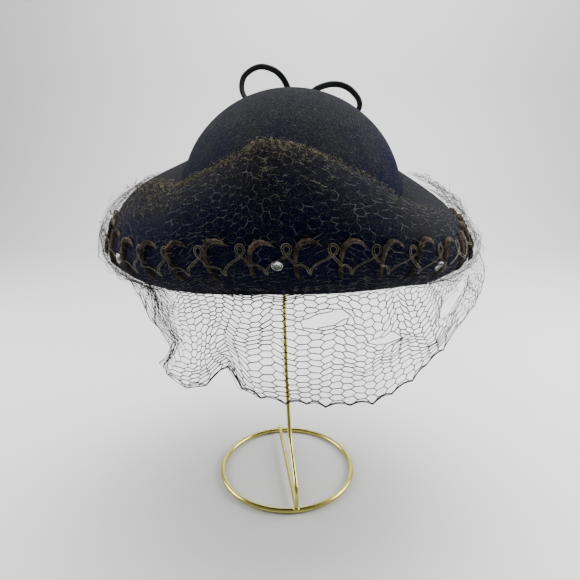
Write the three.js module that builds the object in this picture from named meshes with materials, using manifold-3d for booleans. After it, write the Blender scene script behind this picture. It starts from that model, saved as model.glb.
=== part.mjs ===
// A veiled felt hat on its plain wire stand. Millimetres, +Z up, the front towards -Y.
import * as THREE from 'three';
import { mergeVertices } from 'three/addons/utils/BufferGeometryUtils.js';
import Module from 'manifold-3d';

// Felt and clearances
const FELT = 2;
const GAP = 0.3;

// Crown: a tall oval dome. Its axis stands at CROWN_X, beside the stand's axis.
const CROWN_X = 4;
const CROWN_HALF_WIDTH = 85;
const CROWN_HALF_LENGTH = 98;
const CROWN_RIM_Z = 252;
const CROWN_SPRING_Z = 257;
const CROWN_TOP_Z = 339.5;
const CROWN_FULLNESS = 2;
const CROWN_SIDES = 36;
const CROWN_STEPS = 8;

// Brim: one row for each radial section, by its turn in degrees from the front.
// r is measured from the crown's axis and z from the floor. The section runs from the
// valley beside the crown, over the crest and the brow, round the roll and down to the hem.
const BRIM_COLUMNS = ['turn', 'valleyZ', 'crestR', 'crestZ', 'browR', 'browZ', 'rollR', 'rollZ', 'hemR', 'hemZ'];
const BRIM_TABLE = [
  [-180, 266, 111, 260, 119, 252, 125, 242, 123, 231],
  [-140, 272, 109, 264, 122, 253, 131, 240, 126, 226],
  [-104, 286, 104, 273, 127, 255.5, 142, 228, 136, 210],
  [-80, 281, 107, 274.5, 129, 256.5, 142, 227, 134, 207.5],
  [-58, 271, 109, 277, 129, 260, 140, 231, 123, 208],
  [-42, 266, 111, 279.5, 131, 265, 140, 239, 119, 211],
  [-27, 265, 112.5, 291, 131, 277, 141, 250, 120.5, 215.5],
  [-18, 265, 114, 300, 131.5, 286, 141.5, 256, 121.5, 218],
  [-9, 265, 116, 309.5, 132, 294, 142, 261, 122, 220],
  [2, 265, 115, 307, 132, 291.5, 142, 262, 122, 220.5],
  [12, 265, 113.5, 300, 131.5, 286.5, 142, 260, 121.5, 220],
  [25, 264, 113, 287, 131, 276, 141.5, 252, 119, 218],
  [38, 262, 113, 273, 131, 264, 141, 243, 117.5, 215],
  [53, 260, 115, 263.5, 131.5, 253, 140, 234, 119.5, 210.5],
  [72, 267, 111, 262, 128.5, 247, 138.5, 227, 127, 209],
  [98, 279, 102, 266, 123.5, 247.5, 139, 223, 134, 209],
  [138, 271, 109, 261, 121, 250, 130, 238, 126, 225],
];
const BRIM_SECTIONS = 48;
const BRIM_STEPS = 10;

// Veil: its lower edge, one row for each turn. It hangs clear of the felt by VEIL_LIFT.
const DROP_COLUMNS = ['turn', 'r', 'z'];
const DROP_TABLE = [
  [-106, 150, 203],
  [-75, 141, 199],
  [-64, 131, 186],
  [-56, 125, 160],
  [-48, 121, 139],
  [-38, 117, 133],
  [-27, 115, 146],
  [-13, 123, 146],
  [2, 133, 148],
  [25, 133, 141],
  [50, 132, 151],
  [69, 140, 171],
  [80, 149, 179],
  [90, 156, 190],
  [99, 158, 203],
];
const VEIL_FIRST_TURN = -104;
const VEIL_LAST_TURN = 98;
const VEIL_COLUMNS = 15;
const VEIL_ROWS = 7;
const VEIL_LIFT = 4.6;
const VEIL_THICK = 1.2;
const VEIL_STRAND_SHARE = 0.1;
const VEIL_FLAT_SHARE = 0.31;

// Gathers: tufts of bunched net, one row for each station of the tuft.
const GATHER_COLUMNS = ['turn', 'back', 'radius'];
const GATHER_TABLE = [
  [-66, 4, 0.8],
  [-54, 3, 2.4],
  [-42, 3.5, 1.8],
  [-30, 3, 2.6],
  [-18, 3, 2.0],
  [-8, 2, 2.8],
  [4, 3, 2.1],
  [16, 3, 1.6],
  [28, 4, 0.8],
];
const TUFT_COLUMNS = ['turn', 'up', 'lift', 'radius'];
const TUFT_TABLE = [
  [106, 76, 6.5, 0.8],
  [100, 71, 7, 1.2],
  [94, 65, 7.8, 1.5],
  [88, 58, 7.9, 1.6],
  [83, 50, 7.8, 1.5],
  [80, 41, 7.4, 0.8],
];

// Trim: scrolls of thick yarn round the lower part of the brim, and stones between them.
// A stone's place is counted in scrolls from the first one.
const SCROLL_COUNT = 32;
const SCROLL_UP = 32;
const SCROLL_FIRST_TURN = -7.6;
const SCROLL_COLUMNS = ['along', 'up', 'radius'];
const SCROLL_TABLE = [
  [8.6, 10.4, 0.7],
  [4.0, 13.2, 1.2],
  [-1.5, 13.4, 1.7],
  [-5.6, 9, 1.6],
  [-6.0, 2, 1.2],
  [-4.6, -8, 1.3],
  [-0.6, -13.2, 0.9],
];
const STONE_PLACES = [0.38, 4.6, 9.3, 13.5, 18.3, 22.6, 27.5];
const STONE_UP = 30;
const STONE_FACETS = 8;
const STONE_ROWS = [
  { height: 0.4, radius: 1.8 },
  { height: 2.0, radius: 3.5 },
  { height: 3.4, radius: 2.1 },
];

// Bow: two flat loops and a knot at the back of the crown.
const BOW_Y = 62;
const STRAP_WIDTH = 5;
const STRAP_THICK = 2.2;
const KNOT_X = 9;
const KNOT_HALF = { x: 6, y: 4, z: 3.6 };
const LOOP_COLUMNS = ['x', 'y', 'z', 'twist'];
const LEFT_LOOP_TABLE = [
  [3.5, 64, 327, 35],
  [-1, 63, 342, 35],
  [-9, 61, 351, 30],
  [-22.5, 60, 354.5, 15],
  [-35.5, 60, 347, 0],
  [-37.5, 61, 335, 0],
  [-30, 65, 325, 10],
  [-15, 68, 322, 15],
  [1.5, 68, 322, 15],
];
const RIGHT_LOOP_TABLE = [
  [16.5, 64, 328, -30],
  [25, 61, 337, -35],
  [40, 60, 341, -35],
  [53, 60, 337, -25],
  [62, 61, 325.5, -10],
  [58, 66, 315, 0],
  [45, 70, 312, -10],
  [31, 70, 316, -15],
  [17.5, 68, 321, -15],
];

// Stand: a ring on the floor, a bar across it that bends up into the stem, and a hidden
// support ring inside the dome. The wire is brass.
const RING_RADIUS = 60;
const RING_WIRE = 4.6;
const STEM_WIRE = 3.5;
const SOLDER = 0.5;
const BAR_TURN = 7.7;
const BAR_NEAR = { x: 8.4, y: -62.3 };
const STEM_COLUMNS = ['along', 'z'];
const STEM_TABLE = [
  [0, 13],
  [3, 24],
  [20, 35],
  [41, 48],
  [58, 80],
  [73, 125],
  [80, 165],
  [84, 215],
  [89, 270],
  [93, 312],
];
const BAR_LENGTH = 126;
const SUPPORT_RADIUS = 36;
const SUPPORT_Z = 326;
const SUPPORT_CENTRE = { x: CROWN_X, y: 0 };

// Colours of the pieces
const NAVY_FELT = { color: 0x24222c, roughness: 0.95, metalness: 0 };
const BLACK_FELT = { color: 0x1b1a20, roughness: 0.9, metalness: 0 };
const BROWN_NET = { color: 0x4a3b2e, roughness: 0.8, metalness: 0 };
const TAUPE_YARN = { color: 0x5a483a, roughness: 0.9, metalness: 0 };
const CLEAR_STONE = { color: 0xe8e8ec, roughness: 0.1, metalness: 0 };
const BRASS_WIRE = { color: 0xb9a55a, roughness: 0.3, metalness: 1 };

const wasm = await Module();
wasm.setup();

const radians = THREE.MathUtils.degToRad;

// Turns a table into rows with named columns.
function rowsOf(columns, table) {
  return table.map((row) => Object.fromEntries(columns.map((name, i) => [name, row[i]])));
}

// A smooth value of one column at a turn. Rows that go all round repeat every 360 degrees.
function columnAt(rows, name, turn, closed) {
  const at = (i) => {
    const n = rows.length;
    if (!closed) return rows[THREE.MathUtils.clamp(i, 0, n - 1)];
    const lap = Math.floor(i / n);
    return { ...rows[i - lap * n], turn: rows[i - lap * n].turn + 360 * lap };
  };
  let i = 0;
  while (i < rows.length - (closed ? 1 : 2) && at(i + 1).turn <= turn) i += 1;
  const [before, low, high, after] = [at(i - 1), at(i), at(i + 1), at(i + 2)];
  const span = high.turn - low.turn;
  const t = THREE.MathUtils.clamp((turn - low.turn) / span, 0, 1);
  const slope = (a, b) => (b.turn === a.turn ? 0 : ((b[name] - a[name]) / (b.turn - a.turn)) * span);
  const [p, q, m, n] = [low[name], high[name], slope(before, high), slope(low, after)];
  const t2 = t * t;
  const t3 = t2 * t;
  return (2 * t3 - 3 * t2 + 1) * p + (t3 - 2 * t2 + t) * m + (3 * t2 - 2 * t3) * q + (t3 - t2) * n;
}

// The point at a turn from the front, a distance from the crown's axis, and a height.
function placeAt(turn, r, z) {
  return new THREE.Vector3(CROWN_X + r * Math.sin(radians(turn)), -r * Math.cos(radians(turn)), z);
}

// The outer radius of the crown at a turn and height.
function crownRadius(turn, z) {
  const wide = Math.sin(radians(turn)) / CROWN_HALF_WIDTH;
  const long = Math.cos(radians(turn)) / CROWN_HALF_LENGTH;
  const climb = Math.max(0, (z - CROWN_SPRING_Z) / (CROWN_TOP_Z - CROWN_SPRING_Z));
  return (1 - climb ** CROWN_FULLNESS) ** (1 / CROWN_FULLNESS) / Math.hypot(wide, long);
}

// A closed body from rings of points in order; a loop joins its last ring to its first.
function ringsGeometry(rings, loop = false) {
  const sides = rings[0].length;
  const count = rings.length;
  const positions = rings.flatMap((ring) => ring.flatMap((p) => [p.x, p.y, p.z]));
  const index = [];
  for (let i = 0; i < (loop ? count : count - 1); i += 1) {
    for (let j = 0; j < sides; j += 1) {
      const a = i * sides + j;
      const b = i * sides + ((j + 1) % sides);
      const c = ((i + 1) % count) * sides + ((j + 1) % sides);
      const d = ((i + 1) % count) * sides + j;
      index.push(a, b, c, a, c, d);
    }
  }
  if (!loop) {
    const last = (count - 1) * sides;
    for (let j = 1; j < sides - 1; j += 1) {
      index.push(0, j + 1, j);
      index.push(last, last + j, last + j + 1);
    }
  }
  return facingOut(positions, index);
}

// Turns the faces of a closed body outwards.
function facingOut(positions, index) {
  const geometry = new THREE.BufferGeometry();
  geometry.setAttribute('position', new THREE.Float32BufferAttribute(positions, 3));
  const [a, b, c] = [new THREE.Vector3(), new THREE.Vector3(), new THREE.Vector3()];
  let volume = 0;
  for (let i = 0; i < index.length; i += 3) {
    a.fromArray(positions, index[i] * 3);
    b.fromArray(positions, index[i + 1] * 3);
    c.fromArray(positions, index[i + 2] * 3);
    volume += a.dot(b.cross(c)) / 6;
  }
  if (volume < 0) {
    for (let i = 0; i < index.length; i += 3) [index[i + 1], index[i + 2]] = [index[i + 2], index[i + 1]];
  }
  geometry.setIndex(index);
  geometry.computeVertexNormals();
  return geometry;
}

// A round tube through points, with a radius for each point.
function tubeGeometry(points, radii, sides, steps) {
  const curve = new THREE.CatmullRomCurve3(points, false, 'centripetal');
  const frames = curve.computeFrenetFrames(steps, false);
  const rings = [];
  for (let i = 0; i <= steps; i += 1) {
    const u = i / steps;
    const place = curve.getUtoTmapping(u) * (radii.length - 1);
    const low = Math.min(Math.floor(place), radii.length - 2);
    const radius = THREE.MathUtils.lerp(radii[low], radii[low + 1], place - low);
    const centre = curve.getPointAt(u);
    rings.push(
      Array.from({ length: sides }, (_, j) => {
        const angle = (j / sides) * 2 * Math.PI;
        return centre
          .clone()
          .addScaledVector(frames.normals[i], radius * Math.cos(angle))
          .addScaledVector(frames.binormals[i], radius * Math.sin(angle));
      })
    );
  }
  return ringsGeometry(rings);
}

// A level wire ring with flat sides below and above.
function levelRingGeometry(radius, wire, sides, stations, centre) {
  const corner = wire / 2 / Math.cos(Math.PI / sides);
  const rings = Array.from({ length: stations }, (_, i) => {
    const turn = (i / stations) * 2 * Math.PI;
    return Array.from({ length: sides }, (_, j) => {
      const angle = ((j + 0.5) / sides) * 2 * Math.PI + (sides % 4 ? Math.PI / 2 : 0);
      const r = radius + corner * Math.cos(angle);
      const [x, y] = [centre.x + r * Math.cos(turn), centre.y + r * Math.sin(turn)];
      return new THREE.Vector3(x, y, centre.z + corner * Math.sin(angle));
    });
  });
  return ringsGeometry(rings, true);
}

// A closed mesh as a solid that can be joined.
function solidOf(geometry) {
  const bare = geometry.clone();
  bare.deleteAttribute('normal');
  bare.deleteAttribute('uv');
  const merged = mergeVertices(bare, 1e-4);
  return new wasm.Manifold(
    new wasm.Mesh({
      numProp: 3,
      vertProperties: merged.attributes.position.array,
      triVerts: new Uint32Array(merged.index.array),
    })
  );
}

// A joined solid as a geometry.
function geometryOf(solid) {
  const mesh = solid.getMesh();
  const geometry = new THREE.BufferGeometry();
  geometry.setAttribute('position', new THREE.BufferAttribute(mesh.vertProperties, 3));
  geometry.setIndex(new THREE.BufferAttribute(mesh.triVerts, 1));
  geometry.computeVertexNormals();
  return geometry;
}

function piece(name, geometry, finish) {
  const mesh = new THREE.Mesh(geometry, new THREE.MeshStandardMaterial(finish));
  mesh.name = name;
  return mesh;
}

// Crown: an open dome, turned round its axis and drawn out lengthwise.
function crown() {
  const outline = (inset) =>
    Array.from({ length: CROWN_STEPS + 1 }, (_, i) => {
      const lean = (i / CROWN_STEPS) * (Math.PI / 2);
      const power = 2 / CROWN_FULLNESS;
      return new THREE.Vector2(
        (CROWN_HALF_WIDTH - inset) * Math.sin(lean) ** power,
        CROWN_SPRING_Z + (CROWN_TOP_Z - CROWN_SPRING_Z - inset) * Math.cos(lean) ** power
      );
    });
  const outer = outline(0);
  const inner = outline(FELT).reverse();
  outer[0].x = 0;
  inner[CROWN_STEPS].x = 0;
  outer[CROWN_STEPS].y = CROWN_SPRING_Z;
  inner[0].y = CROWN_SPRING_Z;
  const rim = [
    new THREE.Vector2(CROWN_HALF_WIDTH, CROWN_RIM_Z),
    new THREE.Vector2(CROWN_HALF_WIDTH - FELT, CROWN_RIM_Z),
  ];
  const dome = new THREE.LatheGeometry([...outer, ...rim, ...inner].reverse(), CROWN_SIDES);
  dome.rotateX(Math.PI / 2);
  dome.scale(1, CROWN_HALF_LENGTH / CROWN_HALF_WIDTH, 1);
  dome.translate(CROWN_X, 0, 0);
  return piece('crown', dome, NAVY_FELT);
}

// The brim's outer section at a turn: points from the valley to the hem in (r, z), with
// the felt's outward normal and the length of felt up from the hem at each.
const brimRows = rowsOf(BRIM_COLUMNS, BRIM_TABLE);
const sectionCache = new Map();

function brimSection(turn, steps = 48) {
  const key = `${turn.toFixed(4)} ${steps}`;
  if (sectionCache.has(key)) return sectionCache.get(key);
  const lap = turn < -180 ? turn + 360 : turn >= 180 ? turn - 360 : turn;
  const at = (name) => columnAt(brimRows, name, lap, true);
  const valleyR = crownRadius(lap, at('valleyZ')) + GAP;
  const low = { r: at('rollR') * 0.45 + at('hemR') * 0.55 + 4, z: at('rollZ') * 0.45 + at('hemZ') * 0.55 };
  const curve = new THREE.CatmullRomCurve3(
    [
      new THREE.Vector3(valleyR, at('valleyZ'), 0),
      new THREE.Vector3(at('crestR'), at('crestZ'), 0),
      new THREE.Vector3(at('browR'), at('browZ'), 0),
      new THREE.Vector3(at('rollR'), at('rollZ'), 0),
      new THREE.Vector3(low.r, low.z, 0),
      new THREE.Vector3(at('hemR'), at('hemZ'), 0),
    ],
    false,
    'centripetal'
  );
  const length = curve.getLength();
  const section = Array.from({ length: steps + 1 }, (_, i) => {
    const share = i / steps;
    const point = curve.getPointAt(share);
    const tangent = curve.getTangentAt(share);
    return { r: point.x, z: point.y, nr: -tangent.y, nz: tangent.x, up: length * (1 - share) };
  });
  section.crestUp = length * (1 - crestShare(curve));
  sectionCache.set(key, section);
  return section;
}

// Where along the section's length its crest row lies.
function crestShare(curve) {
  const lengths = curve.getLengths(200);
  return lengths[Math.round(200 / 5)] / lengths[200];
}

// A point on the brim's outer face, a length of felt up from the hem, lifted off it.
function brimPoint(turn, up, lift) {
  const section = brimSection(turn);
  let i = 0;
  while (i < section.length - 2 && section[i + 1].up > up) i += 1;
  const [a, b] = [section[i], section[i + 1]];
  const t = (a.up - up) / (a.up - b.up);
  const mix = (name) => THREE.MathUtils.lerp(a[name], b[name], t);
  return placeAt(turn, mix('r') + lift * mix('nr'), mix('z') + lift * mix('nz'));
}

// Brim: the sections joined into one rolled band with a felt's wall.
function brim() {
  const rings = Array.from({ length: BRIM_SECTIONS }, (_, i) => {
    const turn = -180 + (i / BRIM_SECTIONS) * 360;
    const section = brimSection(turn, BRIM_STEPS);
    const clear = (r, z) => placeAt(turn, Math.max(r, crownRadius(turn, z) + GAP), z);
    const outer = section.map((p) => clear(p.r, p.z));
    const inner = section.map((p) => clear(p.r - FELT * p.nr, p.z - FELT * p.nz));
    return [...outer, ...inner.reverse()];
  });
  return piece('brim', ringsGeometry(rings, true), NAVY_FELT);
}

// The turn that lies a length of arc further round the trim line than another.
function turnAfter(turn, arc, up) {
  const steps = Math.max(8, Math.ceil(arc / 2));
  let at = turn;
  for (let i = 0; i < steps; i += 1) {
    const here = brimPoint(wrapped(at), up, 0);
    const ahead = brimPoint(wrapped(at + 0.5), up, 0);
    at += (arc / steps / here.distanceTo(ahead)) * 0.5;
  }
  return at;
}

function trimLength(up) {
  let length = 0;
  for (let turn = -180; turn < 180; turn += 2) {
    length += brimPoint(turn, up, 0).distanceTo(brimPoint(turn + 2, up, 0));
  }
  return length;
}

const wrapped = (turn) => (turn >= 180 ? turn - 360 : turn);

// Trim: hooked scrolls of yarn laid on the felt, each a tube that swells and tapers.
function scrolls() {
  const rows = rowsOf(SCROLL_COLUMNS, SCROLL_TABLE);
  const pitch = trimLength(SCROLL_UP) / SCROLL_COUNT;
  const made = [];
  let turn = SCROLL_FIRST_TURN;
  for (let i = 0; i < SCROLL_COUNT; i += 1) {
    const perDegree = brimPoint(turn, SCROLL_UP, 0).distanceTo(brimPoint(turn + 0.5, SCROLL_UP, 0)) * 2;
    const points = rows.map((row) => {
      const side = wrapped(turn + row.along / perDegree);
      return brimPoint(side, SCROLL_UP + row.up, row.radius + GAP);
    });
    const radii = rows.map((row) => row.radius);
    const name = `trim_scroll_${String(i + 1).padStart(2, '0')}`;
    made.push(piece(name, tubeGeometry(points, radii, 4, 8), TAUPE_YARN));
    turn = wrapped(turnAfter(turn, pitch, SCROLL_UP));
  }
  return made;
}

// Stones: round cut stones with a table, set on the felt between the scrolls.
function stones() {
  const rings = STONE_ROWS.map((row) =>
    Array.from({ length: STONE_FACETS }, (_, j) => {
      const angle = (j / STONE_FACETS) * 2 * Math.PI;
      return new THREE.Vector3(row.radius * Math.cos(angle), row.radius * Math.sin(angle), row.height);
    })
  );
  const geometry = ringsGeometry(rings);
  const pitch = trimLength(SCROLL_UP) / SCROLL_COUNT;
  return STONE_PLACES.map((place, i) => {
    const turn = wrapped(turnAfter(SCROLL_FIRST_TURN, pitch * place, SCROLL_UP));
    const seat = brimPoint(turn, STONE_UP, 0);
    const normal = brimPoint(turn, STONE_UP, 1).sub(seat);
    const stone = piece(`rhinestone_${i + 1}`, geometry.clone(), CLEAR_STONE);
    stone.position.copy(seat);
    stone.quaternion.setFromUnitVectors(new THREE.Vector3(0, 0, 1), normal);
    return stone;
  });
}

// Veil: the surface that the net follows. across runs from 0 to 1 round the hat and
// down runs from 0 at the crest to 1 at the lower edge.
const dropRows = rowsOf(DROP_COLUMNS, DROP_TABLE);
const veilCache = new Map();

function veilCurve(turn) {
  const key = turn.toFixed(4);
  if (veilCache.has(key)) return veilCache.get(key);
  const section = brimSection(turn);
  const lift = VEIL_LIFT;
  const first = section.findIndex((p) => p.up < section.crestUp - 3);
  const points = [];
  const stations = 7;
  for (let i = 0; i <= stations; i += 1) {
    const p = section[Math.round(THREE.MathUtils.lerp(first, section.length - 1, i / stations))];
    points.push(new THREE.Vector3(p.r + lift * p.nr, p.z + lift * p.nz, 0));
  }
  const hem = points[points.length - 1];
  const end = new THREE.Vector3(columnAt(dropRows, 'r', turn), columnAt(dropRows, 'z', turn), 0);
  points.push(hem.clone().lerp(end, 0.5), end);
  const curve = new THREE.CatmullRomCurve3(points, false, 'centripetal');
  veilCache.set(key, curve);
  return curve;
}

function veilPoint(across, down) {
  const turn = THREE.MathUtils.lerp(VEIL_FIRST_TURN, VEIL_LAST_TURN, across);
  const p = veilCurve(turn).getPointAt(THREE.MathUtils.clamp(down, 0, 1));
  return placeAt(turn, p.x, p.y);
}

function veilNormal(across, down) {
  const d = 0.004;
  const side = veilPoint(across + d, down).sub(veilPoint(across - d, down));
  const fall = veilPoint(across, Math.min(1, down + d)).sub(veilPoint(across, Math.max(0, down - d)));
  return side.cross(fall).normalize().negate();
}

// Veil: six-sided meshes in offset columns. Each mesh is a border of net round its own
// opening, and neighbours share their outer corners, so the whole net is one body.
function veil() {
  const pitch = 1 / (VEIL_COLUMNS + 0.4);
  const flat = VEIL_FLAT_SHARE * pitch;
  const reach = pitch - flat;
  const corners = (column, row) => {
    const middle = (column + 0.7) * pitch;
    const low = (row + (column % 2) / 2) / VEIL_ROWS;
    const high = low + 1 / VEIL_ROWS;
    const half = (low + high) / 2;
    return [
      [middle - flat, low],
      [middle + flat, low],
      [middle + reach, half],
      [middle + flat, high],
      [middle - flat, high],
      [middle - reach, half],
    ];
  };
  const positions = [];
  const index = [];
  const known = new Map();
  const vertex = (p) => {
    const key = p.toArray().map((v) => v.toFixed(3)).join(' ');
    if (!known.has(key)) {
      known.set(key, positions.length / 3);
      positions.push(p.x, p.y, p.z);
    }
    return known.get(key);
  };
  const edges = new Map();
  const quad = (a, b, c, d) => index.push(a, b, c, a, c, d);
  for (let column = 0; column < VEIL_COLUMNS; column += 1) {
    for (let row = 0; row < VEIL_ROWS - (column % 2); row += 1) {
      const ring = corners(column, row);
      const centre = [0, 1].map((k) => ring.reduce((sum, c) => sum + c[k], 0) / 6);
      const hole = ring.map((c) => c.map((v, k) => v + VEIL_STRAND_SHARE * (centre[k] - v)));
      const faces = [ring, hole].map((outline) =>
        outline.map(([across, down]) => {
          const p = veilPoint(across, down);
          const n = veilNormal(across, down);
          return { outer: vertex(p.clone().addScaledVector(n, VEIL_THICK)), inner: vertex(p) };
        })
      );
      for (let i = 0; i < 6; i += 1) {
        const j = (i + 1) % 6;
        const [a, b, c, d] = [faces[0][i], faces[0][j], faces[1][j], faces[1][i]];
        quad(a.outer, b.outer, c.outer, d.outer);
        quad(a.inner, d.inner, c.inner, b.inner);
        quad(d.outer, c.outer, c.inner, d.inner);
        const shared = `${Math.min(a.outer, b.outer)} ${Math.max(a.outer, b.outer)}`;
        if (edges.has(shared)) edges.delete(shared);
        else edges.set(shared, [a, b]);
      }
    }
  }
  for (const [a, b] of edges.values()) quad(b.outer, a.outer, a.inner, b.inner);
  return piece('veil', facingOut(positions, index), BROWN_NET);
}

// Gathers: the bunched top of the net behind the crest, and a loose tuft over the wing.
function gathers() {
  const crest = rowsOf(GATHER_COLUMNS, GATHER_TABLE);
  const points = crest.map((row) =>
    brimPoint(row.turn, brimSection(row.turn).crestUp + row.back, row.radius + GAP + 0.2)
  );
  const radii = crest.map((row) => row.radius);
  const tuft = rowsOf(TUFT_COLUMNS, TUFT_TABLE);
  const loose = tuft.map((row) => brimPoint(row.turn, row.up, row.lift));
  const looseRadii = tuft.map((row) => row.radius);
  return [
    piece('veil_gather', tubeGeometry(points, radii, 5, 16), BROWN_NET),
    piece('veil_tuft', tubeGeometry(loose, looseRadii, 5, 8), BROWN_NET),
  ];
}

// Bow: each loop is a flat strap that follows its rows and turns on its own axis by twist.
function bowLoop(name, table) {
  const rows = rowsOf(LOOP_COLUMNS, table);
  const curve = new THREE.CatmullRomCurve3(
    rows.map((row) => new THREE.Vector3(row.x, row.y, row.z)),
    false,
    'centripetal'
  );
  const steps = 17;
  const rings = Array.from({ length: steps + 1 }, (_, i) => {
    const u = i / steps;
    const centre = curve.getPointAt(u);
    const tangent = curve.getTangentAt(u);
    const place = curve.getUtoTmapping(u) * (rows.length - 1);
    const low = Math.min(Math.floor(place), rows.length - 2);
    const twist = THREE.MathUtils.lerp(rows[low].twist, rows[low + 1].twist, place - low);
    const wide = new THREE.Vector3(0, 1, 0).addScaledVector(tangent, -tangent.y).normalize();
    wide.applyAxisAngle(tangent, radians(twist));
    const thick = tangent.clone().cross(wide);
    return [
      [-1, -1],
      [1, -1],
      [1, 1],
      [-1, 1],
    ].map(([a, b]) =>
      centre
        .clone()
        .addScaledVector(wide, (a * STRAP_WIDTH) / 2)
        .addScaledVector(thick, (b * STRAP_THICK) / 2)
    );
  });
  return piece(name, ringsGeometry(rings), BLACK_FELT);
}

function bowKnot() {
  const dome = new THREE.SphereGeometry(1, 8, 6);
  dome.scale(KNOT_HALF.x, KNOT_HALF.y, KNOT_HALF.z);
  const knot = piece('bow_knot', dome, BLACK_FELT);
  knot.position.set(KNOT_X, BOW_Y + 5, 323);
  return knot;
}

// Stand: the ring, the bar with its stem, and the hidden support, soldered into one.
function stand() {
  const bar = new THREE.Vector2(-Math.sin(radians(BAR_TURN)), Math.cos(radians(BAR_TURN)));
  const barZ = RING_WIRE + STEM_WIRE / 2 - SOLDER;
  const onBar = (along, z) => new THREE.Vector3(BAR_NEAR.x + along * bar.x, BAR_NEAR.y + along * bar.y, z);
  const points = [
    onBar(BAR_LENGTH, barZ),
    onBar(BAR_LENGTH / 2, barZ),
    onBar(6, barZ),
    onBar(1.5, barZ + 1.5),
    ...rowsOf(STEM_COLUMNS, STEM_TABLE).map((row) => onBar(row.along, row.z)),
  ];
  points.push(new THREE.Vector3(-4, SUPPORT_CENTRE.y + SUPPORT_RADIUS - 2, SUPPORT_Z));
  const radii = points.map(() => STEM_WIRE / 2);
  const ring = levelRingGeometry(RING_RADIUS, RING_WIRE, 8, 40, new THREE.Vector3(0, 0, RING_WIRE / 2));
  const support = levelRingGeometry(
    SUPPORT_RADIUS,
    STEM_WIRE,
    6,
    20,
    new THREE.Vector3(SUPPORT_CENTRE.x, SUPPORT_CENTRE.y, SUPPORT_Z)
  );
  const stem = tubeGeometry(points, radii, 6, 46);
  const joined = solidOf(ring).add(solidOf(stem)).add(solidOf(support));
  return piece('stand', geometryOf(joined), BRASS_WIRE);
}

const group = new THREE.Group();
group.add(crown(), brim(), stand(), veil(), ...gathers(), ...scrolls(), ...stones());
group.add(bowLoop('bow_loop_left', LEFT_LOOP_TABLE), bowLoop('bow_loop_right', RIGHT_LOOP_TABLE), bowKnot());

// The middle of the base of the whole thing is the frame's origin.
const box = new THREE.Box3().setFromObject(group);
const middle = box.getCenter(new THREE.Vector3());
group.position.set(-middle.x, -middle.y, 0);

export default group;
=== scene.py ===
"""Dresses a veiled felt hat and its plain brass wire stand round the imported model."""

import logging
import math
from dataclasses import dataclass, field
from enum import Enum

import bpy
import numpy as np
from mathutils import Matrix, Vector, noise

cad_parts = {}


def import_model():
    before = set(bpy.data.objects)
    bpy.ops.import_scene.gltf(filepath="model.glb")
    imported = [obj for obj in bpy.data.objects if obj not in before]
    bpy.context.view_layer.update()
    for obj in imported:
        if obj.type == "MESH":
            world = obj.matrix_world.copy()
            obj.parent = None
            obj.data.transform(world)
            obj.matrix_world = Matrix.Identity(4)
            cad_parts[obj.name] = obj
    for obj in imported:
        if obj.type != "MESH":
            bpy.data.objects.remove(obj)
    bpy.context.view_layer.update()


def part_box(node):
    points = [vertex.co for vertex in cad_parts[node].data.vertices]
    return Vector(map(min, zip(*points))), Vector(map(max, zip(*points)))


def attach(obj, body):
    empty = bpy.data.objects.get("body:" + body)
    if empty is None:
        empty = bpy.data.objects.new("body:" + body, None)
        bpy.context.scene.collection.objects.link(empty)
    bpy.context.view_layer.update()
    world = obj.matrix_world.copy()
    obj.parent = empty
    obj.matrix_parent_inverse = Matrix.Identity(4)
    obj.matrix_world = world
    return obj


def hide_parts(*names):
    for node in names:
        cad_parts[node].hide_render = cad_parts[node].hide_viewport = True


LOG = logging.getLogger("veiled_hat")
Array = np.ndarray
Pair = tuple[float, float]
Point = tuple[float, float, float]
Colour = tuple[float, ...]
Faces = list[tuple[int, ...]]
Material = bpy.types.Material
Socket = bpy.types.NodeSocket
Piece = bpy.types.Object
BODY = "root"
PICTURE = 580
NOISE_SEED = 4
# The line of the trim, in millimetres of felt up from the hem.
TRIM_UP = 32.0


# Helpers for shapes


def millimetres(value: float) -> float:
    """Turns millimetres into metres."""
    return value / 1000.0


@dataclass(frozen=True)
class Table:
    """A short table with named columns, read by its first one.

    Args:
        columns: the names of the columns.
        rows: the rows. Where at reads them, they are in order of the first column, the turn.
        closed: whether the rows go all the way round and repeat every 360 degrees.
    """

    columns: tuple[str, ...]
    rows: tuple[tuple[float, ...], ...]
    closed: bool = False

    def column(self, name: str) -> Array:
        """One column as an array."""
        return np.array([row[self.columns.index(name)] for row in self.rows], float)

    def at(self, name: str, turn: Array) -> Array:
        """A smooth value of one column at some turns.

        Args:
            name: the column.
            turn: the turns in degrees.

        Returns:
            One value for each turn.
        """
        x, y = self.column(self.columns[0]), self.column(name)
        if self.closed:
            x = np.concatenate([x[-2:] - 360, x, x[:2] + 360])
            y = np.concatenate([y[-2:], y, y[:2]])
        slope = np.zeros_like(y)
        slope[1:-1] = (y[2:] - y[:-2]) / (x[2:] - x[:-2])
        slope[0] = (y[1] - y[0]) / (x[1] - x[0])
        slope[-1] = (y[-1] - y[-2]) / (x[-1] - x[-2])
        turn = np.clip(np.asarray(turn, float), x[0], x[-1])
        low = np.clip(np.searchsorted(x, turn, side="right") - 1, 0, len(x) - 2)
        span = x[low + 1] - x[low]
        t = (turn - x[low]) / span
        return (
            (2 * t**3 - 3 * t**2 + 1) * y[low]
            + (t**3 - 2 * t**2 + t) * slope[low] * span
            + (3 * t**2 - 2 * t**3) * y[low + 1]
            + (t**3 - t**2) * slope[low + 1] * span
        )


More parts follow.
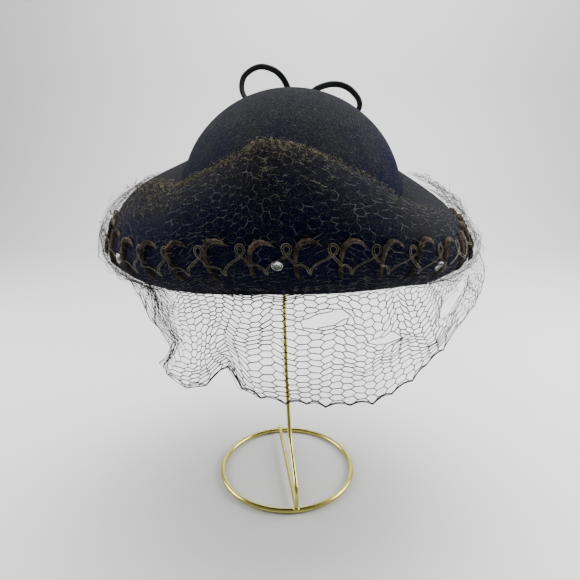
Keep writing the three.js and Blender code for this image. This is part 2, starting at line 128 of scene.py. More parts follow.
def smooth_path(points: Array, steps: int) -> Array:
    """Runs a centripetal curve through points and spaces samples evenly along it.

    Args:
        points: an array (..., count, axes) of points to pass through.
        steps: how many even steps the result has.

    Returns:
        An array (..., steps + 1, axes) of evenly spaced points.
    """
    points = np.asarray(points, float)
    first = 2 * points[..., :1, :] - points[..., 1:2, :]
    last = 2 * points[..., -1:, :] - points[..., -2:-1, :]
    padded = np.concatenate([first, points, last], axis=-2)
    fine_steps = 24
    t = np.linspace(0, 1, fine_steps, endpoint=False)[:, None]
    parts = []
    for i in range(points.shape[-2] - 1):
        a, b, c, d = (padded[..., i + k : i + k + 1, :] for k in range(4))
        ab, bc, cd = (
            np.maximum(np.linalg.norm(q - p, axis=-1, keepdims=True), 1e-9) ** 0.5
            for p, q in ((a, b), (b, c), (c, d))
        )
        enter = ((b - a) / ab - (c - a) / (ab + bc) + (c - b) / bc) * bc
        leave = ((c - b) / bc - (d - b) / (bc + cd) + (d - c) / cd) * bc
        square = -3 * b + 3 * c - 2 * enter - leave
        cube = 2 * b - 2 * c + enter + leave
        parts.append(b + enter * t + square * t**2 + cube * t**3)
    dense = np.concatenate([*parts, points[..., -1:, :]], axis=-2)
    flat = dense.reshape(-1, dense.shape[-2], dense.shape[-1])
    result = np.empty((len(flat), steps + 1, flat.shape[-1]))
    for row, line in enumerate(flat):
        along = np.concatenate([[0], np.cumsum(np.linalg.norm(np.diff(line, axis=0), axis=1))])
        wanted = np.linspace(0, along[-1], steps + 1)
        for axis in range(line.shape[1]):
            result[row, :, axis] = np.interp(wanted, along, line[:, axis])
    return result.reshape(*points.shape[:-2], steps + 1, points.shape[-1])


def path_length(points: Array) -> float:
    """The length of a line of points."""
    return float(np.linalg.norm(np.diff(points, axis=0), axis=1).sum())


def unit(vectors: Array) -> Array:
    """Vectors brought to a length of one."""
    return vectors / np.linalg.norm(vectors, axis=-1, keepdims=True)


def headings(points: Array) -> Array:
    """The direction of a line at each of its points."""
    return unit(np.gradient(points, axis=0))


def split(spot: Array, last: int) -> tuple[Array, Array]:
    """Splits places on a row into the number before each, at most the last, and the rest."""
    low = np.minimum(np.floor(spot).astype(int), last)
    return low, (spot - low)[..., None]


def between(grid: Array, low: Array, high: Array, t: Array, row: Array, s: Array) -> Array:
    """The value at t between a grid's lines low and high, and at s past the point row."""
    near, far = (grid[line, row] * (1 - s) + grid[line, row + 1] * s for line in (low, high))
    return near * (1 - t) + far * t


@dataclass(frozen=True)
class Drift:
    """A smooth random field that moves points about.

    Args:
        size: how far apart its swells are, in metres.
        seed: an offset that picks the field.
        reach: how far it moves points, in millimetres.
    """

    size: float
    seed: float
    reach: float = 1.0

    def field(self, points: Array) -> Array:
        """A vector with values of about -1 to 1 for each point."""
        return np.array([noise.noise_vector(Vector(p)) for p in points / self.size + self.seed])

    def moves(self, points: Array) -> Array:
        """How far each point moves, in metres."""
        return self.field(points) * millimetres(self.reach)


def ring_faces(rings: int, sides: int, loop: bool) -> Faces:
    """The faces between rings of points.

    Args:
        rings: how many rings there are.
        sides: how many points a ring has.
        loop: whether the last ring joins the first, or both ends are capped.

    Returns:
        Faces as tuples of point numbers.
    """
    faces: Faces = []
    for i in range(rings if loop else rings - 1):
        for j in range(sides):
            a, b = i * sides + j, i * sides + (j + 1) % sides
            step = ((i + 1) % rings) * sides
            faces.append((a, b, step + (j + 1) % sides, step + j))
    if not loop:
        faces.append(tuple(reversed(range(sides))))
        faces.append(tuple((rings - 1) * sides + j for j in range(sides)))
    return faces


def ball(rings: int, sides: int) -> list[tuple[int, float, float]]:
    """Each point of a ball as its ring, its lean from the first pole and its angle round it."""
    places = ((i, j) for i in range(1, rings) for j in range(sides))
    return [(i, i / rings * math.pi, j / sides * 2 * math.pi) for i, j in places]


def swept(points: Array, outline: Array, side: Array) -> Array:
    """Sweeps a flat outline along a line.

    Args:
        points: the line, an array (count, 3).
        outline: the outline, (sides, 2), or (count, sides, 2) where it changes on the way.
        side: the direction of the outline's first axis at each point, (count, 3).

    Returns:
        An array (count, sides, 3) of points.
    """
    ahead = headings(points)
    side = unit(side - (side * ahead).sum(1, keepdims=True) * ahead)
    other = np.cross(ahead, side)
    outline = np.broadcast_to(outline, (len(points), *outline.shape[-2:]))
    return points[:, None] + outline[..., :1] * side[:, None] + outline[..., 1:] * other[:, None]


def steady_side(points: Array) -> Array:
    """A direction across a line that turns as little as it can along it.

    Args:
        points: the line, an array (count, 3).

    Returns:
        Unit directions, an array (count, 3).
    """
    ahead = headings(points)
    current = np.eye(3)[np.argmin(np.abs(ahead[0]))]
    sides = np.empty_like(points)
    for i, direction in enumerate(ahead):
        current = current - current.dot(direction) * direction
        current = current / np.linalg.norm(current)
        sides[i] = current
    return sides


def circle(sides: int, radius: float) -> Array:
    """A round outline of a number of points."""
    angle = np.arange(sides) / sides * 2 * np.pi
    return radius * np.stack([np.cos(angle), np.sin(angle)], -1)


# Node trees


class Graph:
    """A node tree with short calls for adding nodes."""

    def __init__(self, tree: bpy.types.NodeTree) -> None:
        """Keeps the tree."""
        self.tree = tree

    def feed(self, node: bpy.types.Node, inputs: dict) -> None:
        """Sets or links a node's inputs, each by its name or number."""
        for key, value in inputs.items():
            if isinstance(value, Socket):
                self.tree.links.new(value, node.inputs[key])
            else:
                node.inputs[key].default_value = value

    def add(self, kind: str, inputs: dict | None = None, **settings: object) -> bpy.types.Node:
        """Adds a node, sets it, and sets or links its inputs.

        Args:
            kind: the node's type.
            inputs: values or output sockets by the input's name or number.
            **settings: the node's own properties.

        Returns:
            The node.
        """
        node = self.tree.nodes.new(kind)
        for key, value in settings.items():
            setattr(node, key, value)
        self.feed(node, inputs or {})
        return node

    def first(self, kind: str, inputs: dict | None = None, **settings: object) -> Socket:
        """Adds a node as add does and returns its first output."""
        return self.add(kind, inputs, **settings).outputs[0]

    def math(self, operation: str, first: object, second: object = 0.0) -> Socket:
        """Adds a Math node and returns its output."""
        return self.first("ShaderNodeMath", {0: first, 1: second}, operation=operation)

    def span(self, value: object, low: float, high: float, start: float, end: float) -> Socket:
        """Maps a value from low..high to start..end, held at both ends."""
        inputs = {"Value": value, "From Min": low, "From Max": high, "To Min": start, "To Max": end}
        return self.first("ShaderNodeMapRange", inputs)

    def blend(self, share: object, first: object, second: object) -> Socket:
        """Mixes two colours and returns the result."""
        return self.add("ShaderNodeMix", {0: share, 6: first, 7: second}, data_type="RGBA").outputs[2]

    def noise(self, vector: object, scale: object, detail: float, rough: float) -> Socket:
        """Adds a Noise texture and returns its value."""
        inputs = {"Vector": vector, "Scale": scale, "Detail": detail, "Roughness": rough}
        return self.first("ShaderNodeTexNoise", inputs)

    def along(self) -> Socket:
        """Adds the length along a thread that its lines were given."""
        return self.add("ShaderNodeAttribute", attribute_name="along").outputs["Fac"]


def new_group(
    name: str, kind: str, inputs: dict[str, tuple[str, object]], outputs: dict[str, str]
) -> tuple[Graph, bpy.types.bpy_prop_collection]:
    """Starts a node group with named inputs and outputs.

    Args:
        name: the group's name.
        kind: the type of its tree.
        inputs: each input's type, and its default or None, by the input's name.
        outputs: each output's type by the output's name.

    Returns:
        The group's graph, and its inputs as sockets that other nodes take.
    """
    tree = bpy.data.node_groups.new(name, kind)
    for key, (sort, value) in inputs.items():
        made = tree.interface.new_socket(name=key, in_out="INPUT", socket_type=f"NodeSocket{sort}")
        if value is not None:
            made.default_value = value
    for key, sort in outputs.items():
        tree.interface.new_socket(name=key, in_out="OUTPUT", socket_type=f"NodeSocket{sort}")
    graph = Graph(tree)
    return graph, graph.add("NodeGroupInput").outputs


class ShaderGroups:
    """The effects that more than one finish uses, each built once."""

    def __init__(self) -> None:
        """Builds every group."""
        self.fibre = self._fibre()
        self.ply = self._ply()

    def _fibre(self) -> bpy.types.NodeTree:
        """Loose fibres: a cloudy blend of two colours with pale flecks, and their height."""
        graph, given = new_group("loose_fibre", "ShaderNodeTree", {
            "Vector": ("Vector", None), "Deep": ("Color", (0.01, 0.01, 0.01, 1)),
            "Pale": ("Color", (0.05, 0.05, 0.05, 1)), "Fleck": ("Color", (0.1, 0.1, 0.1, 1)),
            "Cloud Scale": ("Float", 30.0), "Cloud Edge": ("Float", 0.2), "Fibre Scale": ("Float", 900.0),
            "Fleck Amount": ("Float", 0.4), "Lift": ("Float", 0.0),
        }, {"Color": "Color", "Height": "Float"})
        cloud = graph.noise(given["Vector"], given["Cloud Scale"], 3.0, 0.55)
        fine = graph.noise(given["Vector"], given["Fibre Scale"], 2.0, 0.7)
        inputs = {"Vector": given["Vector"], "Scale": given["Fibre Scale"], "Detail": 1.0, "Distortion": 2.5}
        bent = graph.first("ShaderNodeTexNoise", inputs)
        low, high = (graph.math(way, 0.5, given["Cloud Edge"]) for way in ("SUBTRACT", "ADD"))
        share = graph.math("ADD", graph.span(cloud, low, high, 0.0, 1.0), given["Lift"])
        share = graph.math("MULTIPLY", share, graph.span(fine, 0.25, 0.75, 0.45, 1.3))
        body = graph.blend(graph.span(share, 0.0, 1.0, 0.0, 1.0), given["Deep"], given["Pale"])
        mask = graph.math("MULTIPLY", graph.span(bent, 0.58, 0.72, 0.0, 1.0), given["Fleck Amount"])
        colour = graph.blend(mask, body, given["Fleck"])
        height = graph.math("ADD", fine, graph.math("MULTIPLY", bent, 0.8))
        graph.add("NodeGroupOutput", {"Color": colour, "Height": height})
        return graph.tree

    def _ply(self) -> bpy.types.NodeTree:
        """Wound plies: slanting grooves along a thread from its own length and girth, and a mask of the
        grooves for painted shade.
        """
        graph, given = new_group(
            "wound_ply", "ShaderNodeTree", {"Plies": ("Float", 3.0), "Turns": ("Float", 300.0)},
            {"Height": "Float", "Groove": "Float"},
        )
        around = graph.add("ShaderNodeAttribute", attribute_name="around").outputs["Fac"]
        lengthwise = graph.math("MULTIPLY", graph.along(), given["Turns"])
        phase = graph.math("ADD", lengthwise, graph.math("MULTIPLY", around, given["Plies"]))
        wave = graph.math("ABSOLUTE", graph.math("SINE", graph.math("MULTIPLY", phase, math.pi)))
        graph.add("NodeGroupOutput", {"Height": wave, "Groove": graph.span(wave, 0.0, 0.5, 1.0, 0.0)})
        return graph.tree


def new_material(name: str) -> tuple[Material, Graph, bpy.types.Node, Socket]:
    """Starts a material.

    Args:
        name: the material's name.

    Returns:
        The material, its graph, its shader node, and the place on the object as a socket.
    """
    material = bpy.data.materials.new(name)
    material.use_nodes = True
    graph = Graph(material.node_tree)
    place = graph.add("ShaderNodeTexCoord").outputs["Object"]
    return material, graph, material.node_tree.nodes["Principled BSDF"], place


@dataclass(frozen=True)
class FibreFinish:
    """What felt and thread have in common.

    Args:
        name: the material's name.
        deep: the colour of its darker parts, also laid on as painted shade: on felt faces that look
            down, in a thread's grooves, on net below the hem and along a scroll towards its tail.
        pale: the colour of its paler parts, also laid on as painted light: on felt faces that look up
            and as the glints along net threads.
        fleck: the colour of single loose fibres on felt and yarn; on net, painted glints.
    """

    name: str
    deep: Colour
    pale: Colour
    fleck: Colour

    def fibres(self, graph: Graph, groups: ShaderGroups, values: dict) -> bpy.types.bpy_prop_collection:
        """Adds the loose fibres in the finish's own colours and returns the group's outputs."""
        colours = {"Deep": self.deep, "Pale": self.pale, "Fleck": self.fleck}
        return graph.add("ShaderNodeGroup", {**colours, **values}, node_tree=groups.fibre).outputs


@dataclass(frozen=True)
class FeltFinish(FibreFinish):
    """Wool felt: a matted nap of fine fibres, with painted light that makes faces looking up paler and
    painted shade that makes faces looking down deeper.

    Args:
        painted_overhead_light: how far faces that look up are painted paler and faces that look down painted
            darker, as light from above would.
        flecks: how many loose fibres show.
        sheen: the nap's sheen.
        bump: the height of the nap in metres.
    """

    painted_overhead_light: float = 0.0
    flecks: float = 0.5
    sheen: float = 0.0
    bump: float = 0.0004

    def make(self, groups: ShaderGroups) -> Material:
        """Builds the material.

        Args:
            groups: the shared shader groups.

        Returns:
            The material.
        """
        material, graph, shader, place = new_material(self.name)
        # Painted light from above: faces that look up lean to the pale colour, faces that look down or
        # sideways to the deep navy.
        normal = graph.add("ShaderNodeNewGeometry").outputs["Normal"]
        upward = graph.add("ShaderNodeSeparateXYZ", {0: normal}).outputs["Z"]
        nap = self.fibres(graph, groups, {
            "Vector": place, "Cloud Scale": 26.0, "Fibre Scale": 800.0, "Fleck Amount": self.flecks,
            "Lift": graph.span(upward, 0.0, 0.9, -0.9 * self.painted_overhead_light, self.painted_overhead_light),
        })
        inputs = {"Height": nap["Height"], "Strength": 0.9, "Distance": self.bump}
        graph.feed(shader, {
            "Base Color": nap["Color"], "Normal": graph.first("ShaderNodeBump", inputs),
            "Roughness": graph.span(nap["Height"], 0.4, 1.4, 0.98, 0.86),
            "Sheen Weight": self.sheen, "Sheen Roughness": 0.55,
            "Sheen Tint": (0.72, 0.74, 0.78, 1.0), "Specular IOR Level": 0.03,
        })
        return material


@dataclass(frozen=True)
class ThreadFinish(FibreFinish):
    """Wound thread, yarn or cord, with its plies along its own length.

    Args:
        plies: how many plies show round it.
        turns: how many plies pass per metre.
        metallic: how metallic the thread is.
        roughness: its roughness.
        bump: the depth of the grooves in metres.
        cloud: how fine its light and dark stretches are, per metre.
        cloud_edge: how soft they end.
        lift: how far it leans towards the pale colour.
        flecks: how many loose fibres show.
        painted_shade_below: the height in metres under which the thread is painted darker as painted
            shade, if any.
        painted_shade_falls: how fast that height falls towards the back.
        painted_head_light_to: the length in metres from its start over which painted light gives way
        to painted shade, if any.
        gloss: how strongly its surface mirrors.
    """

    plies: float = 2.0
    turns: float = 900.0
    metallic: float = 0.0
    roughness: float = 0.6
    bump: float = 0.0001
    cloud: float = 60.0
    cloud_edge: float = 0.2
    lift: float = 0.25
    flecks: float = 0.5
    painted_shade_below: float = 0.0
    painted_shade_falls: float = 0.0
    painted_head_light_to: float = 0.0
    gloss: float = 0.06

    def make(self, groups: ShaderGroups) -> Material:
        """Builds the material.

        Args:
            groups: the shared shader groups.

        Returns:
            The material.
        """
        material, graph, shader, place = new_material(self.name)
        fibre = self.fibres(graph, groups, {
            "Vector": place, "Cloud Scale": self.cloud, "Cloud Edge": self.cloud_edge,
            "Lift": self.lift, "Fibre Scale": 1800.0, "Fleck Amount": self.flecks,
        })
        inputs = {"Plies": self.plies, "Turns": self.turns}
        ply = graph.add("ShaderNodeGroup", inputs, node_tree=groups.ply).outputs
        # Painted shade: the grooves between the plies are blended towards the deep colour.
        colour = graph.blend(graph.math("MULTIPLY", ply["Groove"], 0.7), fibre["Color"], self.deep)
        # Painted shade: below a height that falls towards the back, where the brim shades the hanging net,
        # the thread is painted in the deep colour.
        if self.painted_shade_below:
            parts = graph.add("ShaderNodeSeparateXYZ", {0: place}).outputs
            level = graph.math("ADD", parts["Z"], graph.math("MULTIPLY", parts["Y"], self.painted_shade_falls))
            shade = graph.span(level, self.painted_shade_below - 0.002, self.painted_shade_below + 0.006, 0.97, 0.0)
            colour = graph.blend(shade, colour, self.deep)
        # Painted light: the thread is left bright at its start, a scroll's head, and painted darker along
        # its length towards the tail.
        if self.painted_head_light_to:
            shade = graph.span(graph.along(), 0.0, self.painted_head_light_to, 0.0, 0.7)
            colour = graph.blend(shade, colour, self.deep)
        height = graph.math("ADD", ply["Height"], graph.math("MULTIPLY", fibre["Height"], 0.25))
        inputs = {"Height": height, "Strength": 0.8, "Distance": self.bump}
        low, high = self.roughness - 0.08, self.roughness + 0.1
        graph.feed(shader, {
            "Base Color": colour, "Normal": graph.first("ShaderNodeBump", inputs),
            "Roughness": graph.span(fibre["Height"], 0.4, 1.4, low, high), "Metallic": self.metallic,
            "Specular IOR Level": self.gloss,
        })
        return material


@dataclass(frozen=True)
class BrassFinish:
    """Polished brass wire with faint drawing marks and a little duller tarnish."""

    name: str = "polished_brass"
    bright: Colour = (0.60, 0.53, 0.15, 1.0)
    tarnish: Colour = (0.33, 0.28, 0.09, 1.0)

    def make(self) -> Material:
        """Builds the material and returns it."""
        material, graph, shader, place = new_material(self.name)
        blotch = graph.span(graph.noise(place, 55.0, 5.0, 0.6), 0.5, 0.72, 0.0, 0.75)
        marks = graph.noise(place, 900.0, 3.0, 0.6)
        dull = graph.span(blotch, 0.0, 0.75, 0.13, 0.30)
        bump = graph.first("ShaderNodeBump", {"Height": marks, "Strength": 0.25, "Distance": 0.00005})
        graph.feed(shader, {
            "Base Color": graph.blend(blotch, self.bright, self.tarnish), "Normal": bump,
            "Roughness": graph.math("ADD", dull, graph.span(marks, 0.3, 0.7, 0.0, 0.08)), "Metallic": 1.0,
        })
        return material


@dataclass(frozen=True)
class GlossFinish:
    """A bright hard surface that clouds over in places.

    Args:
        name: the material's name.
        clear: its main colour.
        cloudy: the colour of its duller places.
        scale: how fine the clouds are, per metre.
        detail: how much small detail they have.
        spread: the two noise values that the change of colour lies between, and how far it goes.
        rough: the roughness where it is clear and where it is cloudy.
        values: the shader's other values.
    """

    name: str
    clear: Colour
    cloudy: Colour
    scale: float
    detail: float
    spread: Point
    rough: Pair
    values: dict[str, float]

    def make(self) -> Material:
        """Builds the material and returns it."""
        material, graph, shader, place = new_material(self.name)
        cloud = graph.noise(place, self.scale, self.detail, 0.6)
        low, high, amount = self.spread
        graph.feed(shader, {
            "Base Color": graph.blend(graph.span(cloud, low, high, 0.0, amount), self.clear, self.cloudy),
            "Roughness": graph.span(cloud, 0.3, 0.7, *self.rough), **self.values,
        })
        return material


# Making meshes


class Profile(Enum):
    """The section of a thread."""

    ROUND = "round"
    PLIED = "plied"


class ThreadTree:
    """The Geometry Nodes tree that turns lines into closed threads of a given section."""

    def __init__(self, profile: Profile) -> None:
        """Builds the tree.

        Args:
            profile: the section of the thread.
        """
        graph, given = new_group(f"thread_{profile.value}", "GeometryNodeTree", {
            "Lines": ("Geometry", None), "Sides": ("Int", 4), "Hollow": ("Float", 0.75),
            "Twist": ("Float", 0.0), "Finish": ("Material", None),
        }, {"Threads": "Geometry"})
        self.tree = graph.tree
        lines = graph.first("GeometryNodeMeshToCurve", {"Mesh": given["Lines"]})
        length = graph.add("GeometryNodeSplineParameter").outputs["Length"]
        stored = self._keep(graph, lines, "along", length)
        tilt = graph.math("MULTIPLY", length, given["Twist"])
        turned = graph.first("GeometryNodeSetCurveTilt", {"Curve": stored, "Tilt": tilt})
        if profile is Profile.PLIED:
            inputs = {"Points": given["Sides"], "Inner Radius": given["Hollow"], "Outer Radius": 1.0}
            outline = graph.first("GeometryNodeCurveStar", inputs)
        else:
            inputs = {"Resolution": given["Sides"], "Radius": 1.0}
            outline = graph.first("GeometryNodeCurvePrimitiveCircle", inputs)
        share = graph.add("GeometryNodeSplineParameter").outputs["Factor"]
        marked = self._keep(graph, outline, "around", share)
        girth = graph.first("GeometryNodeInputNamedAttribute", {"Name": "girth"}, data_type="FLOAT")
        inputs = {"Curve": turned, "Profile Curve": marked, "Scale": girth, "Fill Caps": True}
        body = graph.first("GeometryNodeCurveToMesh", inputs)
        smooth = graph.first("GeometryNodeSetShadeSmooth", {"Geometry": body})
        real = graph.first("GeometryNodeRealizeInstances", {"Geometry": smooth})
        inputs = {"Geometry": real, "Material": given["Finish"]}
        dressed = graph.first("GeometryNodeSetMaterial", inputs)
        graph.add("NodeGroupOutput", {"Threads": dressed})

    @staticmethod
    def _keep(graph: Graph, line: object, name: str, value: object) -> Socket:
        """Stores a value at each point of a line under a name."""
        inputs = {"Geometry": line, "Name": name, "Value": value}
        kind = "GeometryNodeStoreNamedAttribute"
        return graph.first(kind, inputs, data_type="FLOAT", domain="POINT")

    def identifier(self, name: str) -> str:
        """The identifier of an input by its name."""
        return next(
            item.identifier for item in self.tree.interface.items_tree
            if item.name == name and item.in_out == "INPUT"
        )


@dataclass
class Lines:
    """A bundle of lines that become threads.

    Args:
        points: every point, (count, 3), in metres.
        edges: pairs of point numbers.
        girth: the thread's radius at each point, in metres.
    """

    points: list[Array] = field(default_factory=list)
    edges: list[tuple[int, int]] = field(default_factory=list)
    girth: list[float] = field(default_factory=list)

    def run(self, points: Array, girth: Array | float) -> None:
        """Adds one line.

        Args:
            points: the line's points.
            girth: its radius, one for all or one for each point.
        """
        first = len(self.points)
        widths = np.broadcast_to(girth, (len(points),))
        self.points.extend(points)
        self.girth.extend(float(w) for w in widths)
        self.edges.extend((first + i, first + i + 1) for i in range(len(points) - 1))


class Workbench:
    """Makes objects from arrays and hands finished pieces in."""

    def __init__(self) -> None:
        """Keeps the scene's collection and the thread trees."""
        self.collection = bpy.context.scene.collection
        self.trees = {profile: ThreadTree(profile) for profile in Profile}

    def solid(
        self, name: str, points: Array, faces: Faces, finish: Material, smooth: bool = True
    ) -> Piece:
        """Makes an object from points and faces, with its faces outwards.

        Args:
            name: the object's name.
            points: every point, in metres.
            faces: the faces.
            finish: its material.
            smooth: whether it is shaded smooth.

        Returns:
            The object.
        """
        mesh = bpy.data.meshes.new(name)
        mesh.from_pydata([tuple(p) for p in np.asarray(points).reshape(-1, 3)], [], faces)
        mesh.validate()
        mesh.polygons.foreach_set("use_smooth", [smooth] * len(mesh.polygons))
        mesh.update()
        mesh.materials.append(finish)
        made = bpy.data.objects.new(name, mesh)
        self.collection.objects.link(made)
        if self._volume(mesh) < 0:
            mesh.flip_normals()
        return made

    @staticmethod
    def _volume(mesh: bpy.types.Mesh) -> float:
        """The signed volume of a closed mesh.

        Args:
            mesh: the mesh.

        Returns:
            Its volume, below 0 where its faces point inwards.
        """
        mesh.calc_loop_triangles()
        corners = np.empty(len(mesh.vertices) * 3)
        mesh.vertices.foreach_get("co", corners)
        corners = corners.reshape(-1, 3)
        index = np.empty(len(mesh.loop_triangles) * 3, int)
        mesh.loop_triangles.foreach_get("vertices", index)
        a, b, c = (corners[index.reshape(-1, 3)[:, k]] for k in range(3))
        return float((a * np.cross(b, c)).sum() / 6)

    def threads(
        self, name: str, lines: Lines, finish: Material,
        profile: Profile = Profile.ROUND, sides: int = 4, hollow: float = 0.75, twist: float = 0.0,
    ) -> Piece:
        """Turns lines into threads with Geometry Nodes and keeps the result as a plain mesh.

        Args:
            name: the object's name.
            lines: the lines.
            finish: the threads' material.
            profile: the threads' section.
            sides: how many sides, or plies, the section has.
            hollow: how deep the grooves between plies lie, as a share of the radius.
            twist: how far the section turns along a thread, in radians per metre.

        Returns:
            The object.
        """
        mesh = bpy.data.meshes.new(name)
        mesh.from_pydata([tuple(p) for p in lines.points], lines.edges, [])
        girth = mesh.attributes.new("girth", "FLOAT", "POINT")
        girth.data.foreach_set("value", lines.girth)
        made = bpy.data.objects.new(name, mesh)
        self.collection.objects.link(made)
        tree = self.trees[profile]
        modifier = made.modifiers.new("threads", "NODES")
        modifier.node_group = tree.tree
        values = {"Sides": sides, "Hollow": hollow, "Twist": twist, "Finish": finish}
        for key, value in values.items():
            modifier[tree.identifier(key)] = value
        graph = bpy.context.evaluated_depsgraph_get()
        plain = bpy.data.meshes.new_from_object(made.evaluated_get(graph), depsgraph=graph)
        plain.name = name
        made.modifiers.clear()
        made.data = plain
        bpy.data.meshes.remove(mesh)
        return made

    @staticmethod
    def hand_in(piece: Piece, slot: str, *nodes: str) -> None:
        """Lets a finished piece ride on the body and stand for its solids, and reports it.

        Args:
            piece: the finished piece.
            slot: not used.
            *nodes: the solids that it stands for.
        """
        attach(piece, BODY)
        if nodes:
            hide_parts(*nodes)
        LOG.info("%s: %d faces", piece.name, len(piece.data.polygons))


# The hat's form


@dataclass
class HatForm:
    """The felt's shape, from which every other piece takes its place.

    Sizes are in millimetres. The crown is an oval dome. The brim's table has one row for
    each radial section: the valley beside the crown, the crest, the brow, the roll, the hem.
    """

    axis: Pair
    felt: float = 2.0
    gap: float = 0.3
    half_width: float = 85.0
    half_length: float = 98.0
    rim_z: float = 252.0
    spring_z: float = 257.0
    top_z: float = 339.5
    first_turn: float = -180.0
    turn_step: float = 0.5
    section_steps: int = 96
    roll_share: float = 0.45
    hem_share: float = 0.55
    tuck: float = 4.0
    crest_slack: float = 1.02
    # How a crumpled thread runs: two angles in radians, a share, and the brim's mean radius.
    bend: float = 0.33
    zigzag: float = 0.7
    flattened: float = 0.7
    mean_radius: float = 112.0
    brim: Table = Table(
        ("turn", "valley_z", "crest_r", "crest_z", "brow_r", "brow_z", "roll_r", "roll_z", "hem_r", "hem_z"),
        (
            (-180, 266, 111, 260, 119, 252, 125, 242, 123, 231),
            (-140, 272, 109, 264, 122, 253, 131, 240, 126, 226),
            (-104, 286, 104, 273, 127, 255.5, 142, 228, 136, 210),
            (-80, 281, 107, 274.5, 129, 256.5, 142, 227, 134, 207.5),
            (-58, 271, 109, 277, 129, 260, 140, 231, 123, 208),
            (-42, 266, 111, 279.5, 131, 265, 140, 239, 119, 211),
            (-27, 265, 112.5, 291, 131, 277, 141, 250, 120.5, 215.5),
            (-18, 265, 114, 300, 131.5, 286, 141.5, 256, 121.5, 218),
            (-9, 265, 116, 309.5, 132, 294, 142, 261, 122, 220),
            (2, 265, 115, 307, 132, 291.5, 142, 262, 122, 220.5),
            (12, 265, 113.5, 300, 131.5, 286.5, 142, 260, 121.5, 220),
            (25, 264, 113, 287, 131, 276, 141.5, 252, 119, 218),
            (38, 262, 113, 273, 131, 264, 141, 243, 117.5, 215),
            (53, 260, 115, 263.5, 131.5, 253, 140, 234, 119.5, 210.5),
            (72, 267, 111, 262, 128.5, 247, 138.5, 227, 127, 209),
            (98, 279, 102, 266, 123.5, 247.5, 139, 223, 134, 209),
            (138, 271, 109, 261, 121, 250, 130, 238, 126, 225),
        ),
        closed=True,
    )

    def __post_init__(self) -> None:
        """Works out the brim's sections once, at even turns."""
        turns = np.arange(self.first_turn, self.first_turn + 360, self.turn_step)
        at = {name: self.brim.at(name, turns) for name in self.brim.columns[1:]}
        low_r = at["roll_r"] * self.roll_share + at["hem_r"] * self.hem_share + self.tuck
        low_z = at["roll_z"] * self.roll_share + at["hem_z"] * self.hem_share
        valley_r = self.crown_radius(turns, at["valley_z"]) + self.gap
        r = np.stack([valley_r, at["crest_r"], at["brow_r"], at["roll_r"], low_r, at["hem_r"]], -1)
        z = np.stack([at["valley_z"], at["crest_z"], at["brow_z"], at["roll_z"], low_z, at["hem_z"]], -1)
        lines = smooth_path(np.stack([r, z], -1), self.section_steps)
        steps = np.linalg.norm(np.diff(lines, axis=1), axis=2)
        ahead = unit(np.gradient(lines, axis=1))
        outward = np.stack([-ahead[..., 1], ahead[..., 0]], -1)
        self.turns = turns
        self.lengths = steps.sum(1)
        self.grid = np.concatenate([lines, outward], -1)
        first_leg = np.stack([r[:, 1] - valley_r, at["crest_z"] - at["valley_z"]], -1)
        first_leg = np.linalg.norm(first_leg, axis=1)
        self.crest_up = self.lengths - first_leg * self.crest_slack
        ring = self.on_brim(turns, np.full_like(turns, TRIM_UP), np.zeros_like(turns)) * 1000
        gaps = np.linalg.norm(np.roll(ring, -1, axis=0) - ring, axis=1)
        self.trim_arc = np.concatenate([[0], np.cumsum(gaps)])
        self.trim_turns = np.append(turns, turns[0] + 360)

    def crown_radius(self, turn: Array, z: Array) -> Array:
        """The crown's outer radius.

        Args:
            turn: turns in degrees from the front.
            z: heights.

        Returns:
            One radius for each.
        """
        angle = np.radians(turn)
        oval = np.hypot(np.sin(angle) / self.half_width, np.cos(angle) / self.half_length)
        climb = np.clip((np.asarray(z) - self.spring_z) / (self.top_z - self.spring_z), 0, 1)
        return np.sqrt(np.maximum(1 - climb**2, 0)) / oval

    def place(self, turn: Array, r: Array, z: Array) -> Array:
        """Points in metres from a turn, a distance from the crown's axis and a height."""
        angle = np.radians(turn)
        x = self.axis[0] + r * np.sin(angle) / 1000
        y = self.axis[1] - r * np.cos(angle) / 1000
        return np.stack([x, y, np.broadcast_to(np.asarray(z, float) / 1000, np.shape(x))], -1)

    def section(self, turn: Array, share: Array) -> Array:
        """The brim's section between its even turns.

        Args:
            turn: turns in degrees.
            share: the share of the section's length, from the valley at 0 to the hem at 1.

        Returns:
            r, z and the outward direction, an array (count, 4).
        """
        count = len(self.turns)
        spot = (np.asarray(turn, float) - self.first_turn) / self.turn_step
        low, t = split(spot, 2 * count)
        row = np.clip(np.asarray(share, float), 0, 1) * self.section_steps
        base, s = split(row, self.section_steps - 1)
        return between(self.grid, low % count, (low + 1) % count, t, base, s)

    def length_at(self, turn: Array) -> Array:
        """The length of felt from the hem to the valley."""
        return np.interp(self.wrap(turn), self.turns, self.lengths, period=360)

    def crest_at(self, turn: Array) -> Array:
        """The length of felt from the hem to the crest."""
        return np.interp(self.wrap(turn), self.turns, self.crest_up, period=360)

    @staticmethod
    def wrap(turn: Array) -> Array:
        """Turns brought to between -180 and 180 degrees."""
        return (np.asarray(turn, float) + 180) % 360 - 180

    def on_brim(self, turn: Array, up: Array, lift: Array) -> Array:
        """Points on the brim's outer face.

        Args:
            turn: turns in degrees.
            up: lengths of felt up from the hem.
            lift: distances off the felt.

        Returns:
            Points in metres.
        """
        turn, up, lift = np.broadcast_arrays(np.asarray(turn, float), up, lift)
        share = 1 - up / self.length_at(turn)
        r, z, nr, nz = np.moveaxis(self.section(turn, share), -1, 0)
        return self.place(turn, r + lift * nr, z + lift * nz)

